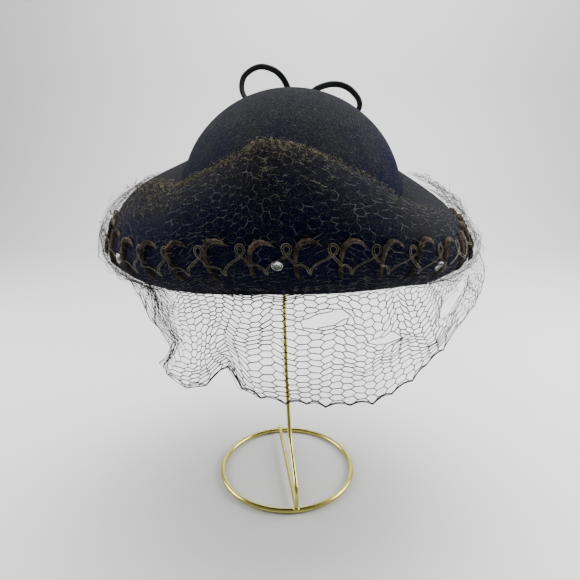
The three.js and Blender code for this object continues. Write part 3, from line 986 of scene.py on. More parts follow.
    def scribble(
        self, rng: np.random.Generator, turn: float, up: float, steps: int, reach: Pair
    ) -> tuple[Array, Array]:
        """A crumpled thread's way over the brim.

        Args:
            rng: gives the random steps.
            turn: where it starts round the hat, in degrees.
            up: where it starts above the hem, in millimetres.
            steps: how many points it has.
            reach: its shortest and longest step in millimetres.

        Returns:
            Its turns and its heights above the hem.
        """
        heading = rng.uniform(0, 2 * math.pi) + np.cumsum(rng.normal(0, self.bend, steps))
        length = rng.uniform(*reach, steps)
        heading = heading + np.where(np.arange(steps) % 2, self.zigzag, -self.zigzag)
        along = np.cumsum(length * np.cos(heading))
        rise = np.cumsum(length * np.sin(heading)) * self.flattened
        return turn + np.degrees(along / self.mean_radius), up + rise

    def turn_at(self, arc: Array) -> Array:
        """The turn at a length along the trim's line."""
        arc = np.asarray(arc, float) % self.trim_arc[-1]
        return self.wrap(np.interp(arc, self.trim_arc, self.trim_turns))

    def arc_at(self, turn: float) -> float:
        """The length along the trim's line at a turn."""
        return float(np.interp(float(self.wrap(turn)), self.trim_turns, self.trim_arc))


# Felt pieces


@dataclass
class FeltBody:
    """The crown and the brim, each a smooth shell with the felt's own thickness."""

    form: HatForm
    bench: Workbench
    crown_sides: int = 128
    crown_steps: int = 40
    brim_sections: int = 288
    brim_steps: int = 60
    swell: Drift = Drift(0.045, 1.7, 0.6)
    swell_from: float = 288.0
    swell_over: float = 18.0
    swell_flattened: float = 0.6
    seam: float = 0.02

    def build(self, finish: Material) -> None:
        """Makes the crown and the brim of the felt."""
        self.bench.hand_in(self.crown(finish), "felt", "crown")
        self.bench.hand_in(self.brim(finish), "felt", "brim")

    def crown(self, finish: Material) -> Piece:
        """The dome: an outer and an inner wall that meet in a rounded rim.

        Args:
            finish: its material.

        Returns:
            The crown.
        """
        form = self.form
        lean = np.linspace(0, np.pi / 2, self.crown_steps + 1)[1:]
        height = form.top_z - form.spring_z
        wall = form.felt
        outer = [(np.sin(a), form.spring_z + height * np.cos(a), 0.0) for a in lean]
        rim = [
            (1.0, form.rim_z + 0.7, 0.0), (1.0, form.rim_z + 0.2, 0.3), (1.0, form.rim_z, 1.0),
            (1.0, form.rim_z + 0.2, wall - 0.3), (1.0, form.rim_z + 0.7, wall),
        ]
        inner = [(np.sin(a), form.spring_z + (height - wall) * np.cos(a), wall) for a in lean[::-1]]
        angle = np.radians(np.arange(self.crown_sides) / self.crown_sides * 360)
        rings = []
        for width, z, inset in [*outer, *rim, *inner]:
            x = form.axis[0] + (form.half_width - inset) * width * np.sin(angle) / 1000
            y = form.axis[1] - (form.half_length - inset) * width * np.cos(angle) / 1000
            rings.append(np.stack([x, y, np.full_like(x, z / 1000)], -1))
        points = np.array(rings)
        count, sides = len(points), self.crown_sides
        faces = ring_faces(count, sides, loop=False)[:-2]
        flat = points.reshape(-1, 3)
        top = np.array([[*form.axis, form.top_z / 1000], [*form.axis, (form.top_z - wall) / 1000]])
        flat = np.concatenate([flat, top])
        last = (count - 1) * sides
        for j in range(sides):
            faces.append(((j + 1) % sides, j, count * sides))
            faces.append((last + j, last + (j + 1) % sides, count * sides + 1))
        free = np.clip(flat[:, 2:] * 1000 - self.swell_from, 0, self.swell_over) / self.swell_over
        flat = flat + self.swell.moves(flat) * free * np.array([1, 1, self.swell_flattened])
        return self.bench.solid("crown_felt", flat, faces, finish)

    def brim(self, finish: Material) -> Piece:
        """The rolled band from the valley over the crest and down to a rounded hem.

        Args:
            finish: its material.

        Returns:
            The brim.
        """
        form, wall = self.form, self.form.felt
        turn = -180 + np.arange(self.brim_sections) / self.brim_sections * 360
        share = np.linspace(0, 1, self.brim_steps + 1)
        loops = []
        for at in turn:
            r, z, nr, nz = form.section(np.full_like(share, at), share).T
            outer = np.stack([r, z], -1)
            inner = np.stack([r - wall * nr, z - wall * nz], -1)
            hem = self.rounded_end(outer[-1], inner[-1], outer[-1] - outer[-2])
            valley = self.rounded_end(inner[0], outer[0], outer[0] - outer[1])
            loop = np.concatenate([outer, hem, inner[::-1], valley])
            loop[:, 0] = np.maximum(loop[:, 0], form.crown_radius(at, loop[:, 1]) + self.seam)
            loops.append(form.place(at, loop[:, 0], loop[:, 1]))
        points = np.array(loops)
        faces = ring_faces(len(points), points.shape[1], loop=True)
        return self.bench.solid("brim_felt", points.reshape(-1, 3), faces, finish)

    @staticmethod
    def rounded_end(start: Array, end: Array, out: Array) -> Array:
        """Three points that round the edge of the felt between its two faces."""
        out = out / max(float(np.linalg.norm(out)), 1e-9)
        shares = ((0.15, 0.45), (0.5, 0.65), (0.85, 0.45))
        return np.array([start + (end - start) * t + out * push for t, push in shares])


# Net


@dataclass(frozen=True)
class Opening:
    """A torn and stretched place in the net, as an oval in the picture's pixels.

    Args:
        x: the middle's pixel across.
        y: the middle's pixel down.
        half_width: half of its width.
        half_height: half of its height.
        lean: how far its width turns clockwise in the picture, in degrees.
        reach: how far the threads round it are pushed apart, in half sizes.
    """

    x: float
    y: float
    half_width: float
    half_height: float
    lean: float
    reach: float = 2.0

    def turned(self) -> Array:
        """The matrix that turns the picture's axes to the oval's."""
        angle = math.radians(self.lean)
        return np.array([[math.cos(angle), -math.sin(angle)], [math.sin(angle), math.cos(angle)]])

    def spot(self, pixels: Array) -> Array:
        """Pixels counted from the middle in half sizes."""
        return (pixels - [self.x, self.y]) @ self.turned() / [self.half_width, self.half_height]

    def push(self, pixels: Array) -> Array:
        """How far the knots move in pixels to leave the opening free.

        Args:
            pixels: the knots' places.

        Returns:
            A move for each knot.
        """
        spot = self.spot(pixels)
        away = np.linalg.norm(spot, axis=1, keepdims=True)
        wanted = 1 + away * (self.reach - 1) / self.reach
        move = spot / np.maximum(away, 0.05) * (wanted - away)
        move = move * [self.half_width, self.half_height] @ self.turned().T
        return np.where(away < self.reach, move, 0)


@dataclass(frozen=True)
class Pull:
    """A place where the net's edge is drawn in, in the picture's pixels."""

    x: float
    y: float
    across: float
    down: float
    radius: float

    def push(self, pixels: Array) -> Array:
        """How far the knots move in pixels."""
        away = np.linalg.norm(pixels - [self.x, self.y], axis=1, keepdims=True)
        return np.exp(-((away / self.radius) ** 2)) * [self.across, self.down]


@dataclass
class Veil:
    """The six-sided net that lies over the brim and hangs below its front.

    Sizes are in millimetres. across runs from 0 to 1 round the hat and down from 0 at the
    crest to 1 at the net's lower edge.
    """

    form: HatForm
    bench: Workbench
    first_turn: float = -104.0
    last_turn: float = 98.0
    columns: int = 61
    rows: int = 43
    flat_share: float = 0.33
    thread: float = 0.37
    flat_thread: float = 0.15
    # The height in metres under which threads hang free, and how fast it falls to the back.
    free_below: float = 0.198
    hem_falls: float = 0.2
    beside: Pair = (-41.0, 50.0)
    side_share: float = 0.58
    torn: float = 0.93
    sag: Drift = Drift(0.006, 1.3, 0.35)
    doubled: Drift = Drift(0.011, 9.7, 7.0)
    doubled_from: float = 0.55
    doubled_thread: float = 0.85
    thin_share: float = 0.85
    thick_more: float = 0.4
    # The pixels across between which strands are twisted together.
    twist_from: float = 221.0
    twist_to: float = 252.0
    twist_strands: int = 7
    twist_apart: float = 0.7
    twist_below: float = 0.6
    twist_spread: float = 0.0009
    strays: tuple[Pair, ...] = ((-99.0, -74.0), (76.0, 96.0))
    stray_count: int = 80
    stray_steps: int = 9
    stray_reach: Pair = (1.2, 2.6)
    stray_thread: Pair = (0.09, 0.14)
    edge_thread: float = 0.3
    edge_apart: float = 0.9
    edge_spread: float = 0.00015
    close_lift: float = 1.3
    trim_lift: float = 5.1
    peak_turn: float = -9.0
    scallop: float = 1.6
    scallop_more: float = 0.8
    scallop_weak: float = 0.15
    strong: Pair = (-5.0, 70.0)
    arch: float = 2.2
    arch_steps: int = 5
    curve_steps: int = 160
    turn_count: int = 405
    stations: int = 8
    # Where the net begins and stops to ride on the trim, up from the hem, each with its slope.
    trim_band: tuple[float, float, float, float] = (6.0, 11.0, 66.0, 14.0)
    held_share: float = 0.28
    below_crest: float = 3.0
    # The gather at the peak, the droop below it and the fold left of the middle.
    gather_turn: float = 36.0
    gather_down: float = 0.32
    gather: float = 0.6
    droop: float = 0.11
    droop_to: float = 0.6
    fold_turn: float = -20.0
    fold_slope: float = 54.0
    fold_from: float = 0.66
    fold_down: float = 0.8
    fold_length: float = 0.16
    fold_width: float = 15.0
    fold: float = 0.5
    # How far the slow, the middle and the fast drift move the knots, in millimetres.
    drifts: tuple[Drift, ...] = (Drift(0.036, 3.1), Drift(0.015, 5.3), Drift(0.005, 7.7))
    sway: Point = (5.0, 1.8, 1.1)
    fall: Point = (9.0, 3.6, 0.9)
    puff: Point = (2.4, 1.2, 0.2)
    side_puff: Pair = (6.0, 5.0)
    calm_hem: float = 1.5
    calm_rise: float = 6.0
    free_rise: float = 4.0
    side_from: float = 52.0
    side_over: float = 24.0
    side_down: float = 0.28
    round_length: float = 490.0
    thread_share: float = 0.3
    seed: int = 11
    drop: Table = Table(
        ("turn", "r", "z"),
        (
            (-106, 146, 208), (-80, 138, 208), (-66, 129, 203), (-58, 127, 192), (-52, 124, 176),
            (-46, 121, 157), (-42, 121, 143), (-36, 119, 141), (-30, 118, 146), (-26, 116, 154),
            (-22, 115, 161), (-18, 118, 155), (-13, 124, 150), (-4, 130, 152), (10, 133, 149),
            (26, 132, 145.5), (34, 133, 151), (43, 136, 160.5), (51, 140, 173), (57, 145, 187),
            (66, 149, 196), (80, 153, 203), (99, 158, 208),
        ),
    )
    openings: tuple[Opening, ...] = (
        Opening(325, 320, 17, 5.6, -13), Opening(388, 339, 14, 2.2, -10), Opening(452, 299, 19, 4.2, -60),
    )
    pulls: tuple[Pull, ...] = (
        Pull(158, 343, 13, 0, 15), Pull(222, 368, 3, -5, 9), Pull(172, 368, -10, 0, 12),
    )

    def __post_init__(self) -> None:
        """Works out the net's hanging lines once."""
        form = self.form
        self.turns = np.linspace(self.first_turn, self.last_turn, self.turn_count)
        crest, length = form.crest_at(self.turns), form.length_at(self.turns)
        steps = np.array([form.arc_at(turn) for turn in self.turns]) - form.arc_at(Trim.first_turn)
        swing = np.cos(steps / (form.trim_arc[-1] / Trim.count) * 2 * np.pi)
        held_up = (1 - self.held_share) + self.held_share * swing
        start = 1 - (crest - self.below_crest) / length
        foot, foot_over, top, top_over = self.trim_band
        stations = []
        for i in range(self.stations):
            share = start + (1 - start) * i / (self.stations - 1)
            up = length * (1 - share)
            over_trim = np.clip((top - up) / top_over, 0, 1) * np.clip((up - foot) / foot_over, 0, 1)
            lift = self.close_lift + (self.trim_lift - self.close_lift) * over_trim * held_up
            r, z, nr, nz = form.section(self.turns, share).T
            stations.append(np.stack([r + lift * nr, z + lift * nz], -1))
        end = np.stack([self.drop.at("r", self.turns), self.drop.at("z", self.turns)], -1)
        stations += [stations[-1] * 0.5 + end * 0.5, end]
        self.lines = smooth_path(np.stack(stations, 1), self.curve_steps)
        self.lengths = np.linalg.norm(np.diff(self.lines, axis=1), axis=2).sum(1)

    def point(self, across: Array, down: Array, lift: Array | float = 0.0) -> Array:
        """Points of the net's surface, in metres.

        Args:
            across: shares round the hat.
            down: shares of the hanging line.
            lift: distances outwards from the surface.

        Returns:
            An array (count, 3).
        """
        low, t = split(np.clip(across, 0, 1) * (len(self.turns) - 1), len(self.turns) - 2)
        base, s = split(np.clip(down, 0, 1) * self.curve_steps, self.curve_steps - 1)
        ahead = unit(self.lines[low, base + 1] - self.lines[low, base])
        middle = between(self.lines, low, low + 1, t, base, s)
        turn = self.turns[low] + (self.turns[1] - self.turns[0]) * t[:, 0]
        lift = np.asarray(lift)
        return self.form.place(turn, middle[:, 0] - lift * ahead[:, 1], middle[:, 1] + lift * ahead[:, 0])

    def flat_size(self) -> Pair:
        """The net's width and length in metres, laid flat with its meshes as open as here."""
        middle = self.lines[:, self.curve_steps // 2]
        line = self.form.place(self.turns, middle[:, 0], middle[:, 1])
        return path_length(line), millimetres(float(self.lengths.mean()))

    def lattice(self) -> tuple[Array, list[tuple[int, int]], list[int]]:
        """The net's knots and threads before it is draped.

        Returns:
            The knots as (across, down), the threads as pairs of knots, and the lowest knots.
        """
        pitch = 1 / (self.columns + 2 * self.flat_share)
        flat = self.flat_share * pitch
        reach = pitch - flat
        knots: dict[tuple[int, int], int] = {}
        places: list[Pair] = []
        threads: set[tuple[int, int]] = set()

        def knot(across: float, down: float) -> int:
            """The number of the knot at a place, which is added where it is new."""
            key = (round(across * 1e6), round(down * 1e6))
            if key not in knots:
                knots[key] = len(places)
                places.append((across, down))
            return knots[key]

        for column in range(self.columns):
            middle = (column + 0.5 + self.flat_share) * pitch
            for row in range(self.rows - column % 2):
                low = (row + (column % 2) / 2) / self.rows
                high, half = low + 1 / self.rows, low + 0.5 / self.rows
                ring = [
                    knot(middle - flat, low), knot(middle + flat, low), knot(middle + reach, half),
                    knot(middle + flat, high), knot(middle - flat, high), knot(middle - reach, half),
                ]
                for i in range(6):
                    a, b = ring[i], ring[(i + 1) % 6]
                    threads.add((min(a, b), max(a, b)))
        grid = np.array(places)
        lowest = [i for i, (_, down) in enumerate(places) if down > 1 - 0.25 / self.rows]
        return grid, sorted(threads), lowest

    def draped(self, grid: Array) -> Array:
        """Lays the knots on the surface with the gathers and the drift of a soft net.

        Args:
            grid: the knots as (across, down).

        Returns:
            The knots in metres.
        """
        down = grid[:, 1]
        turn = self.turn_of(grid)
        near = np.exp(-(((turn - self.peak_turn) / self.gather_turn) ** 2))
        top = np.exp(-((down / self.gather_down) ** 2))
        turn = turn - (turn - self.peak_turn) * self.gather * near * top
        down = down + self.droop * near * np.sin(np.pi * np.clip(down / self.droop_to, 0, 1))
        line = self.fold_turn - (down - self.fold_from) * self.fold_slope
        lengthwise, sideways = (down - self.fold_down) / self.fold_length, (turn - line) / self.fold_width
        fold = np.exp(-(lengthwise ** 2) - sideways ** 2)
        turn = turn - (turn - line) * self.fold * fold
        across = (turn - self.first_turn) / (self.last_turn - self.first_turn)
        flat = self.point(across, down)
        slow, middle, fast = (drift.field(flat) for drift in self.drifts)
        wide = np.interp(grid[:, 0], np.linspace(0, 1, len(self.turns)), self.lengths)
        calm = np.clip(np.minimum(down, (1 - down) * self.calm_hem) * self.calm_rise, 0, 1)
        free = np.clip((down - 0.5) * self.free_rise, 0, 1)
        sway = slow[:, 0] * self.sway[0] + middle[:, 0] * self.sway[1] + fast[:, 0] * self.sway[2]
        fall = (slow[:, 1] * self.fall[0] + middle[:, 1] * self.fall[1]) * calm + fast[:, 1] * self.fall[2]
        side = np.clip((np.abs(turn) - self.side_from) / self.side_over, 0, 1)
        side = side * np.exp(-(((down - 0.5) / self.side_down) ** 2))
        puff = (slow[:, 2] * self.puff[0] + middle[:, 2] * self.puff[1]) * free + self.puff[2]
        bulge = np.abs(slow[:, 2]) * self.side_puff[0] + np.abs(middle[:, 0]) * self.side_puff[1]
        bulge = bulge + fast[:, 2]
        across = np.clip(across + sway / self.round_length, 0, 1)
        return self.point(across, np.clip(down + fall / wide, 0, 1), puff + side * bulge)

    def turn_of(self, grid: Array) -> Array:
        """The turn in degrees of each knot before it is draped."""
        return self.first_turn + grid[:, 0] * (self.last_turn - self.first_turn)

    def build(self, camera: "StudioCamera", finish: Material) -> Piece:
        """Makes the net with its heavier lower edge.

        Args:
            camera: shows where the torn places lie.
            finish: the net's material.

        Returns:
            The net.
        """
        grid, threads, lowest = self.lattice()
        knots = self.scalloped(grid, self.draped(grid), lowest)
        near = (knots[:, 1] < self.form.axis[1]) & (grid[:, 1] > 0.5)
        for change in (*self.pulls, *self.openings):
            push = np.where(near[:, None], change.push(camera.pixels(knots)), 0)
            knots = knots + camera.moved(knots, push)
        pixels = camera.pixels(knots)
        first, last = np.array(threads).T
        middles = (pixels[first] + pixels[last]) / 2
        torn = np.zeros(len(threads), bool)
        for opening in self.openings:
            inside = np.linalg.norm(opening.spot(middles), axis=1) < self.torn
            torn |= inside & near[first] & near[last]
        net = Lines()
        sag = self.sag.moves(knots)
        turn = self.turn_of(grid)
        beside = (turn < self.beside[0]) | (turn > self.beside[1])
        doubled = beside & (grid[:, 1] > self.doubled_from)
        free = knots[:, 2] + knots[:, 1] * self.hem_falls < self.free_below
        again = knots + self.doubled.moves(knots)
        for (a, b), gone in zip(threads, torn):
            if gone:
                continue
            half = (knots[a] + knots[b]) / 2 + (sag[a] + sag[b]) * 0.5
            thick = self.thread if free[a] else self.flat_thread
            thick *= self.side_share if beside[a] else 1.0
            swollen = self.thick_more * abs(float(sag[a][0])) / millimetres(self.sag.reach)
            girth = millimetres(thick * (self.thin_share + swollen))
            net.run(np.array([knots[a], half, knots[b]]), girth)
            if doubled[a] and doubled[b]:
                net.run(np.array([again[a], again[b]]), girth * self.doubled_thread)
        order = sorted(lowest, key=lambda i: grid[i, 0])
        ends = knots[order]
        steps = self.arch_steps
        edge = np.where(beside[order], self.side_share, 1.0) * millimetres(self.edge_thread)
        edge = np.repeat(edge, steps)
        rng = np.random.default_rng(self.seed)
        for shift in (0.0, self.edge_apart):
            moved = ends + rng.normal(0, self.edge_spread, ends.shape)
            moved[:, 2] += millimetres(shift)
            share = np.linspace(0, 1, steps + 1)[:-1, None]
            arch = np.sin(share * np.pi) * [0, 0, millimetres(self.arch)]
            links = [
                moved[i] * (1 - share) + moved[i + 1] * share + (arch if i % 2 else 0)
                for i in range(len(moved) - 1)
            ]
            net.run(np.concatenate([*links, moved[-1:]]), edge[: steps * len(links) + 1])
        self.twisted(net, ends, camera)
        self.strayed(net)
        return self.bench.threads("veil_net", net, finish)

    def twisted(self, net: Lines, ends: Array, camera: "StudioCamera") -> None:
        """Adds the strands that are twisted together at the notch of the lower edge.

        Args:
            net: takes the strands.
            ends: the lowest knots.
            camera: shows where the notch lies.
        """
        rng = np.random.default_rng(self.seed + 1)
        across = camera.pixels(ends)[:, 0]
        part = ends[(across > self.twist_from) & (across < self.twist_to)]
        for number in range(self.twist_strands):
            rise = [0, 0, millimetres(number * self.twist_apart - self.twist_below)]
            moved = part + rng.normal(0, self.twist_spread, part.shape) + rise
            net.run(smooth_path(moved, len(part) * 3), millimetres(self.flat_thread))

    def strayed(self, net: Lines) -> None:
        """Adds the crumpled strands that stand off the felt at both sides.

        Args:
            net: takes the strands.
        """
        rng = np.random.default_rng(self.seed + 2)
        for side in self.strays:
            for _ in range(self.stray_count):
                turn, up = rng.uniform(*side), rng.uniform(14, 66)
                turns, ups = self.form.scribble(rng, turn, up, self.stray_steps, self.stray_reach)
                lift = rng.uniform(2.5, 8.5) + np.cumsum(rng.normal(0, 0.7, self.stray_steps))
                line = self.form.on_brim(turns, np.clip(ups, 8, 74), np.clip(lift, 2.0, 10))
                net.run(line, millimetres(rng.uniform(*self.stray_thread)))

    def scalloped(self, grid: Array, knots: Array, lowest: list[int]) -> Array:
        """Draws the lowest meshes into points, more so right of the middle.

        Args:
            grid: the knots as (across, down).
            knots: the draped knots.
            lowest: the numbers of the lowest knots.

        Returns:
            The knots with the points drawn down.
        """
        order = sorted(lowest, key=lambda i: grid[i, 0])
        turns = self.turn_of(grid)
        knots = knots.copy()
        for number, (left, right) in enumerate(zip(order[::2], order[1::2])):
            middle = (knots[left] + knots[right]) / 2
            strong = self.strong[0] < turns[left] < self.strong[1]
            share = 1.0 + self.scallop_more * (number % 2) if strong else self.scallop_weak
            for knot in (left, right):
                together = middle * 0.94 + knots[knot] * 0.06
                knots[knot] = together - [0, 0, millimetres(self.scallop * share)]
        return knots


@dataclass(frozen=True)
class Wisp:
    """A bundle of loose strands along a line of the hat.

    Args:
        name: the piece's name.
        node: the solid that it stands for.
        strands: how many strands it has.
        length: a strand's length as a share of the line.
        spread: how far strands stand from the line, as a share of its radius.
        thread: a strand's radius in millimetres.
        wave: how far a strand waves from side to side, in millimetres.
    """

    name: str
    node: str
    strands: int
    length: Pair
    spread: float
    thread: float
    wave: float


@dataclass
class LooseNet:
    """The bunched net along the crest, and the bundle that stands off the right wing."""

    form: HatForm
    bench: Workbench
    seed: int = 5
    gather_rows: tuple[Point, ...] = (
        (-66, 4, 0.8), (-54, 3, 2.4), (-42, 3.5, 1.8), (-30, 3, 2.6), (-18, 3, 2.0),
        (-8, 2, 2.8), (4, 3, 2.1), (16, 3, 1.6), (28, 4, 0.8),
    )
    tuft_rows: tuple[tuple[float, float, float, float], ...] = (
        (106, 76, 6.5, 0.8), (100, 71, 7, 1.2), (94, 65, 7.8, 1.5),
        (88, 58, 7.9, 1.6), (83, 50, 7.8, 1.5), (80, 41, 7.4, 0.8),
    )
    gather: Wisp = Wisp("veil_gather_net", "veil_gather", 40, (0.05, 0.2), 2.0, 0.11, 3.4)
    tuft: Wisp = Wisp("veil_tuft_net", "veil_tuft", 17, (0.5, 1.0), 3.6, 0.13, 5.5)
    crumples: int = 700
    crumple_steps: int = 9
    crumple_reach: Pair = (0.9, 1.9)
    # The shares of crumpled threads at the peak, and there or along the crest.
    at_peak: float = 0.42
    along_crest: float = 0.78
    peak: Pair = (-6.0, 8.0)
    crest_turns: Pair = (-64.0, 34.0)
    left_turns: Pair = (-84.0, -30.0)
    left_off: Pair = (-24.0, 3.0)
    thick_share: float = 0.25
    thick: Pair = (0.14, 0.2)
    thin: Pair = (0.07, 0.12)
    wave_size: float = 0.011
    wave_flattened: float = 0.8
    line_steps: int = 120

    def crest_line(self) -> tuple[Array, Array]:
        """The line of the bunched net and its radius at each point, in metres."""
        turn, back, radius = np.array(self.gather_rows).T
        up = self.form.crest_at(turn) + back
        return self._line(turn, up, radius + 0.5, radius)

    def wing_line(self) -> tuple[Array, Array]:
        """The line of the loose bundle and its radius at each point, in metres."""
        turn, up, lift, radius = np.array(self.tuft_rows).T
        return self._line(turn, up, lift, radius)

    def _line(
        self, turn: Array, up: Array, lift: Array, radius: Array
    ) -> tuple[Array, Array]:
        """A smooth line over the brim with a radius along it."""
        points = smooth_path(self.form.on_brim(turn, up, lift), self.line_steps)
        share = np.linspace(0, 1, self.line_steps + 1)
        return points, np.interp(share, np.linspace(0, 1, len(radius)), radius) / 1000

    def crumple(self, lines: Lines) -> None:
        """Adds the crumpled net below and behind the bunched top, densest at the peak.

        Args:
            lines: takes the strands.
        """
        rng = np.random.default_rng(self.seed + 1)
        for _ in range(self.crumples):
            where = rng.random()
            if where < self.at_peak:
                turn, off = rng.normal(*self.peak), 5 - rng.exponential(8)
            elif where < self.along_crest:
                turn, off = rng.uniform(*self.crest_turns), 4 - rng.exponential(4.0)
            else:
                turn, off = rng.uniform(*self.left_turns), rng.uniform(*self.left_off)
            steps = self.crumple_steps
            turns, off = self.form.scribble(rng, turn, off, steps, self.crumple_reach)
            ups = self.form.crest_at(turns) + off
            lift = np.clip(1.0 + rng.uniform(0, 2.2) + rng.normal(0, 0.5, steps), 0.5, 4)
            kind = self.thick if rng.random() < self.thick_share else self.thin
            lines.run(self.form.on_brim(turns, ups, lift), millimetres(rng.uniform(*kind)))

    def bundle(self, wisp: Wisp, line: Array, radius: Array, finish: Material) -> Piece:
        """Makes one bundle of strands.

        Args:
            wisp: the bundle's sizes.
            line: its middle line.
            radius: its radius along the line.
            finish: its material.

        Returns:
            The bundle.
        """
        rng = np.random.default_rng(self.seed)
        lines = Lines()
        side = steady_side(line)
        other = np.cross(headings(line), side)
        last = len(line) - 1
        for _ in range(wisp.strands):
            share = rng.uniform(*wisp.length)
            start = rng.uniform(0, 1 - share)
            at = np.linspace(start, start + share, 14) * last
            low, t = split(at, last - 1)
            base = line[low] * (1 - t) + line[low + 1] * t
            angle = rng.uniform(0, 2 * np.pi) + np.cumsum(rng.normal(0, 0.45, len(at)))
            reach = radius[low] * rng.uniform(0.1, wisp.spread) * (0.6 + 0.4 * np.sin(at / 3 + angle[0]))
            push = side[low] * (np.cos(angle) * reach)[:, None]
            push = push + other[low] * (np.sin(angle) * reach)[:, None]
            swing = Drift(self.wave_size, rng.uniform(0, 30), wisp.wave).moves(base + push)
            path = base + push + swing * np.array([1, 1, self.wave_flattened])
            lines.run(smooth_path(path, 20), millimetres(wisp.thread * rng.uniform(0.7, 1.3)))
        if wisp is self.gather:
            self.crumple(lines)
        return self.bench.threads(wisp.name, lines, finish)


# Trim


@dataclass
class Trim:
    """Hooked scrolls of plied yarn, twin cords looped over them, and a thin scalloped cord.

    Sizes are in millimetres, along the trim's line and up from the hem.
    """

    form: HatForm
    bench: Workbench
    count: int = 32
    first_turn: float = -7.6
    scroll: Table = Table(
        ("along", "up", "radius"),
        (
            (8.6, 10.2, 0.6), (4.4, 12.8, 1.2), (-1.5, 13.4, 1.9), (-5.4, 9.6, 1.7),
            (-6.0, 3.0, 1.25), (-5.6, -4.0, 1.25), (-4.4, -10.0, 1.6), (-2.6, -13.4, 1.2),
        ),
    )
    cord: Table = Table(
        ("along", "up"),
        (
            (-22.4, -10.6), (-22.7, -7.6), (-21.4, -4.6), (-18.0, -1.2), (-13.6, 1.8), (-10.4, 4.6),
            (-8.5, 7.7), (-9.3, 10.2), (-11.4, 11.0), (-13.2, 9.4), (-12.7, 6.4), (-10.6, 3.4),
            (-7.0, 0.2), (-2.6, -2.6), (0.8, -5.0), (2.1, -7.8),
        ),
    )
    cord_radius: float = 0.31
    cord_apart: float = 0.58
    fullness: float = 1.12
    scallop_up: float = -17.5
    scallop_rise: float = 3.0
    scallop_radius: float = 0.22
    scallop_shift: float = 9.0
    scroll_steps: int = 30
    scroll_twist: float = 420.0
    cord_twist: float = 1500.0
    scallop_twist: float = 1900.0
    cord_step: float = 0.08
    groove: float = 0.8

    def pitch(self) -> float:
        """The distance from one scroll to the next."""
        return float(self.form.trim_arc[-1]) / self.count

    def starts(self) -> Array:
        """The place of each scroll along the trim's line."""
        return self.form.arc_at(self.first_turn) + self.pitch() * np.arange(self.count)

    def scroll_lines(self) -> list[tuple[Array, Array]]:
        """Each scroll's (along, up) line and its radius at each point."""
        rows = np.array(self.scroll.rows)
        shape = smooth_path(rows[:, :2], self.scroll_steps)
        share = np.linspace(0, 1, self.scroll_steps + 1)
        radius = np.interp(share, np.linspace(0, 1, len(rows)), rows[:, 2])
        rng = np.random.default_rng(3)
        made = []
        for start in self.starts():
            lean, grow = rng.normal(0, 0.035), 1 + rng.normal(0, 0.03)
            along = (shape[:, 0] + lean * shape[:, 1]) * grow + start
            made.append((np.stack([along, shape[:, 1] * grow + TRIM_UP], -1), radius))
        return made

    def scrolls(self, finish: Material) -> None:
        """Makes the scrolls, each a tapered plied yarn laid on the felt.

        Args:
            finish: the yarn's material.
        """
        step = np.arange(self.scroll_steps + 1)
        ends = np.clip(np.minimum(step, self.scroll_steps - step) / 2.5, 0.35, 1)
        for number, (line, radius) in enumerate(self.scroll_lines(), 1):
            lines = Lines()
            turn = self.form.turn_at(line[:, 0])
            points = self.form.on_brim(turn, line[:, 1], radius + self.form.gap)
            lines.run(points, radius * ends * self.fullness / 1000)
            name = f"scroll_yarn_{number:02d}"
            piece = self.bench.threads(name, lines, finish, Profile.PLIED, 4, self.groove, self.scroll_twist)
            self.bench.hand_in(piece, "yarn", f"trim_scroll_{number:02d}")

    def cord_path(self) -> Array:
        """The looped cord's (along, up) line all the way round."""
        rows = np.array(self.cord.rows)
        turns = [rows + [start, TRIM_UP] for start in self.starts()]
        whole = np.concatenate([*turns, turns[0][:1] + [self.form.trim_arc[-1], 0]])
        return smooth_path(whole, self.count * 60)

    def lifts(self, path: Array) -> Array:
        """How far the cord rides off the felt where it passes over a scroll.

        Args:
            path: the cord's (along, up) line.

        Returns:
            A distance for each point.
        """
        lift = np.full(len(path), self.cord_radius + self.form.gap)
        total = self.form.trim_arc[-1]
        for line, radius in self.scroll_lines():
            away = np.abs((path[:, None, 0] - line[None, :, 0] + total / 2) % total - total / 2)
            gap = np.hypot(away, path[:, None, 1] - line[None, :, 1])
            near = gap.argmin(1)
            reach = radius[near] + self.cord_radius
            over = np.sqrt(np.clip(reach**2 - gap.min(1) ** 2, 0, None))
            lift = np.maximum(lift, np.where(over > 0, radius[near] + self.form.gap + over, 0))
        kernel = np.ones(5) / 5
        padded = np.concatenate([lift[-3:-1], lift, lift[1:3]])
        return np.maximum(lift, np.convolve(padded, kernel, mode="valid"))

    def cords(self, finish: Material, dark: Material) -> None:
        """Makes the twin cords and the thin scalloped one.

        Args:
            finish: the twin cords' material.
            dark: the thin cord's material.
        """
        path = self.cord_path()
        lift = self.lifts(path)
        ahead = headings(path)
        across = np.stack([-ahead[:, 1], ahead[:, 0]], -1)
        twin = Lines()
        for way in (-1, 1):
            moved = path + across * self.cord_apart * way
            turn = self.form.turn_at(moved[:, 0])
            points = self.form.on_brim(turn, moved[:, 1], lift + self.cord_step * way)
            twin.run(points, millimetres(self.cord_radius))
        thin = Lines()
        along = np.linspace(0, self.form.trim_arc[-1], self.count * 24 + 1)
        wave = np.abs(np.sin((along - self.starts()[0] + self.scallop_shift) / self.pitch() * np.pi))
        up = TRIM_UP + self.scallop_up + self.scallop_rise * wave
        points = self.form.on_brim(self.form.turn_at(along), up, self.scallop_radius + self.form.gap)
        thin.run(points, millimetres(self.scallop_radius))
        for name, cord, look, twist in (
            ("trim_cord_pair", twin, finish, self.cord_twist),
            ("trim_cord_scallop", thin, dark, self.scallop_twist),
        ):
            made = self.bench.threads(name, cord, look, Profile.PLIED, 3, self.groove, twist)
            self.bench.hand_in(made, "brass")


# Stones


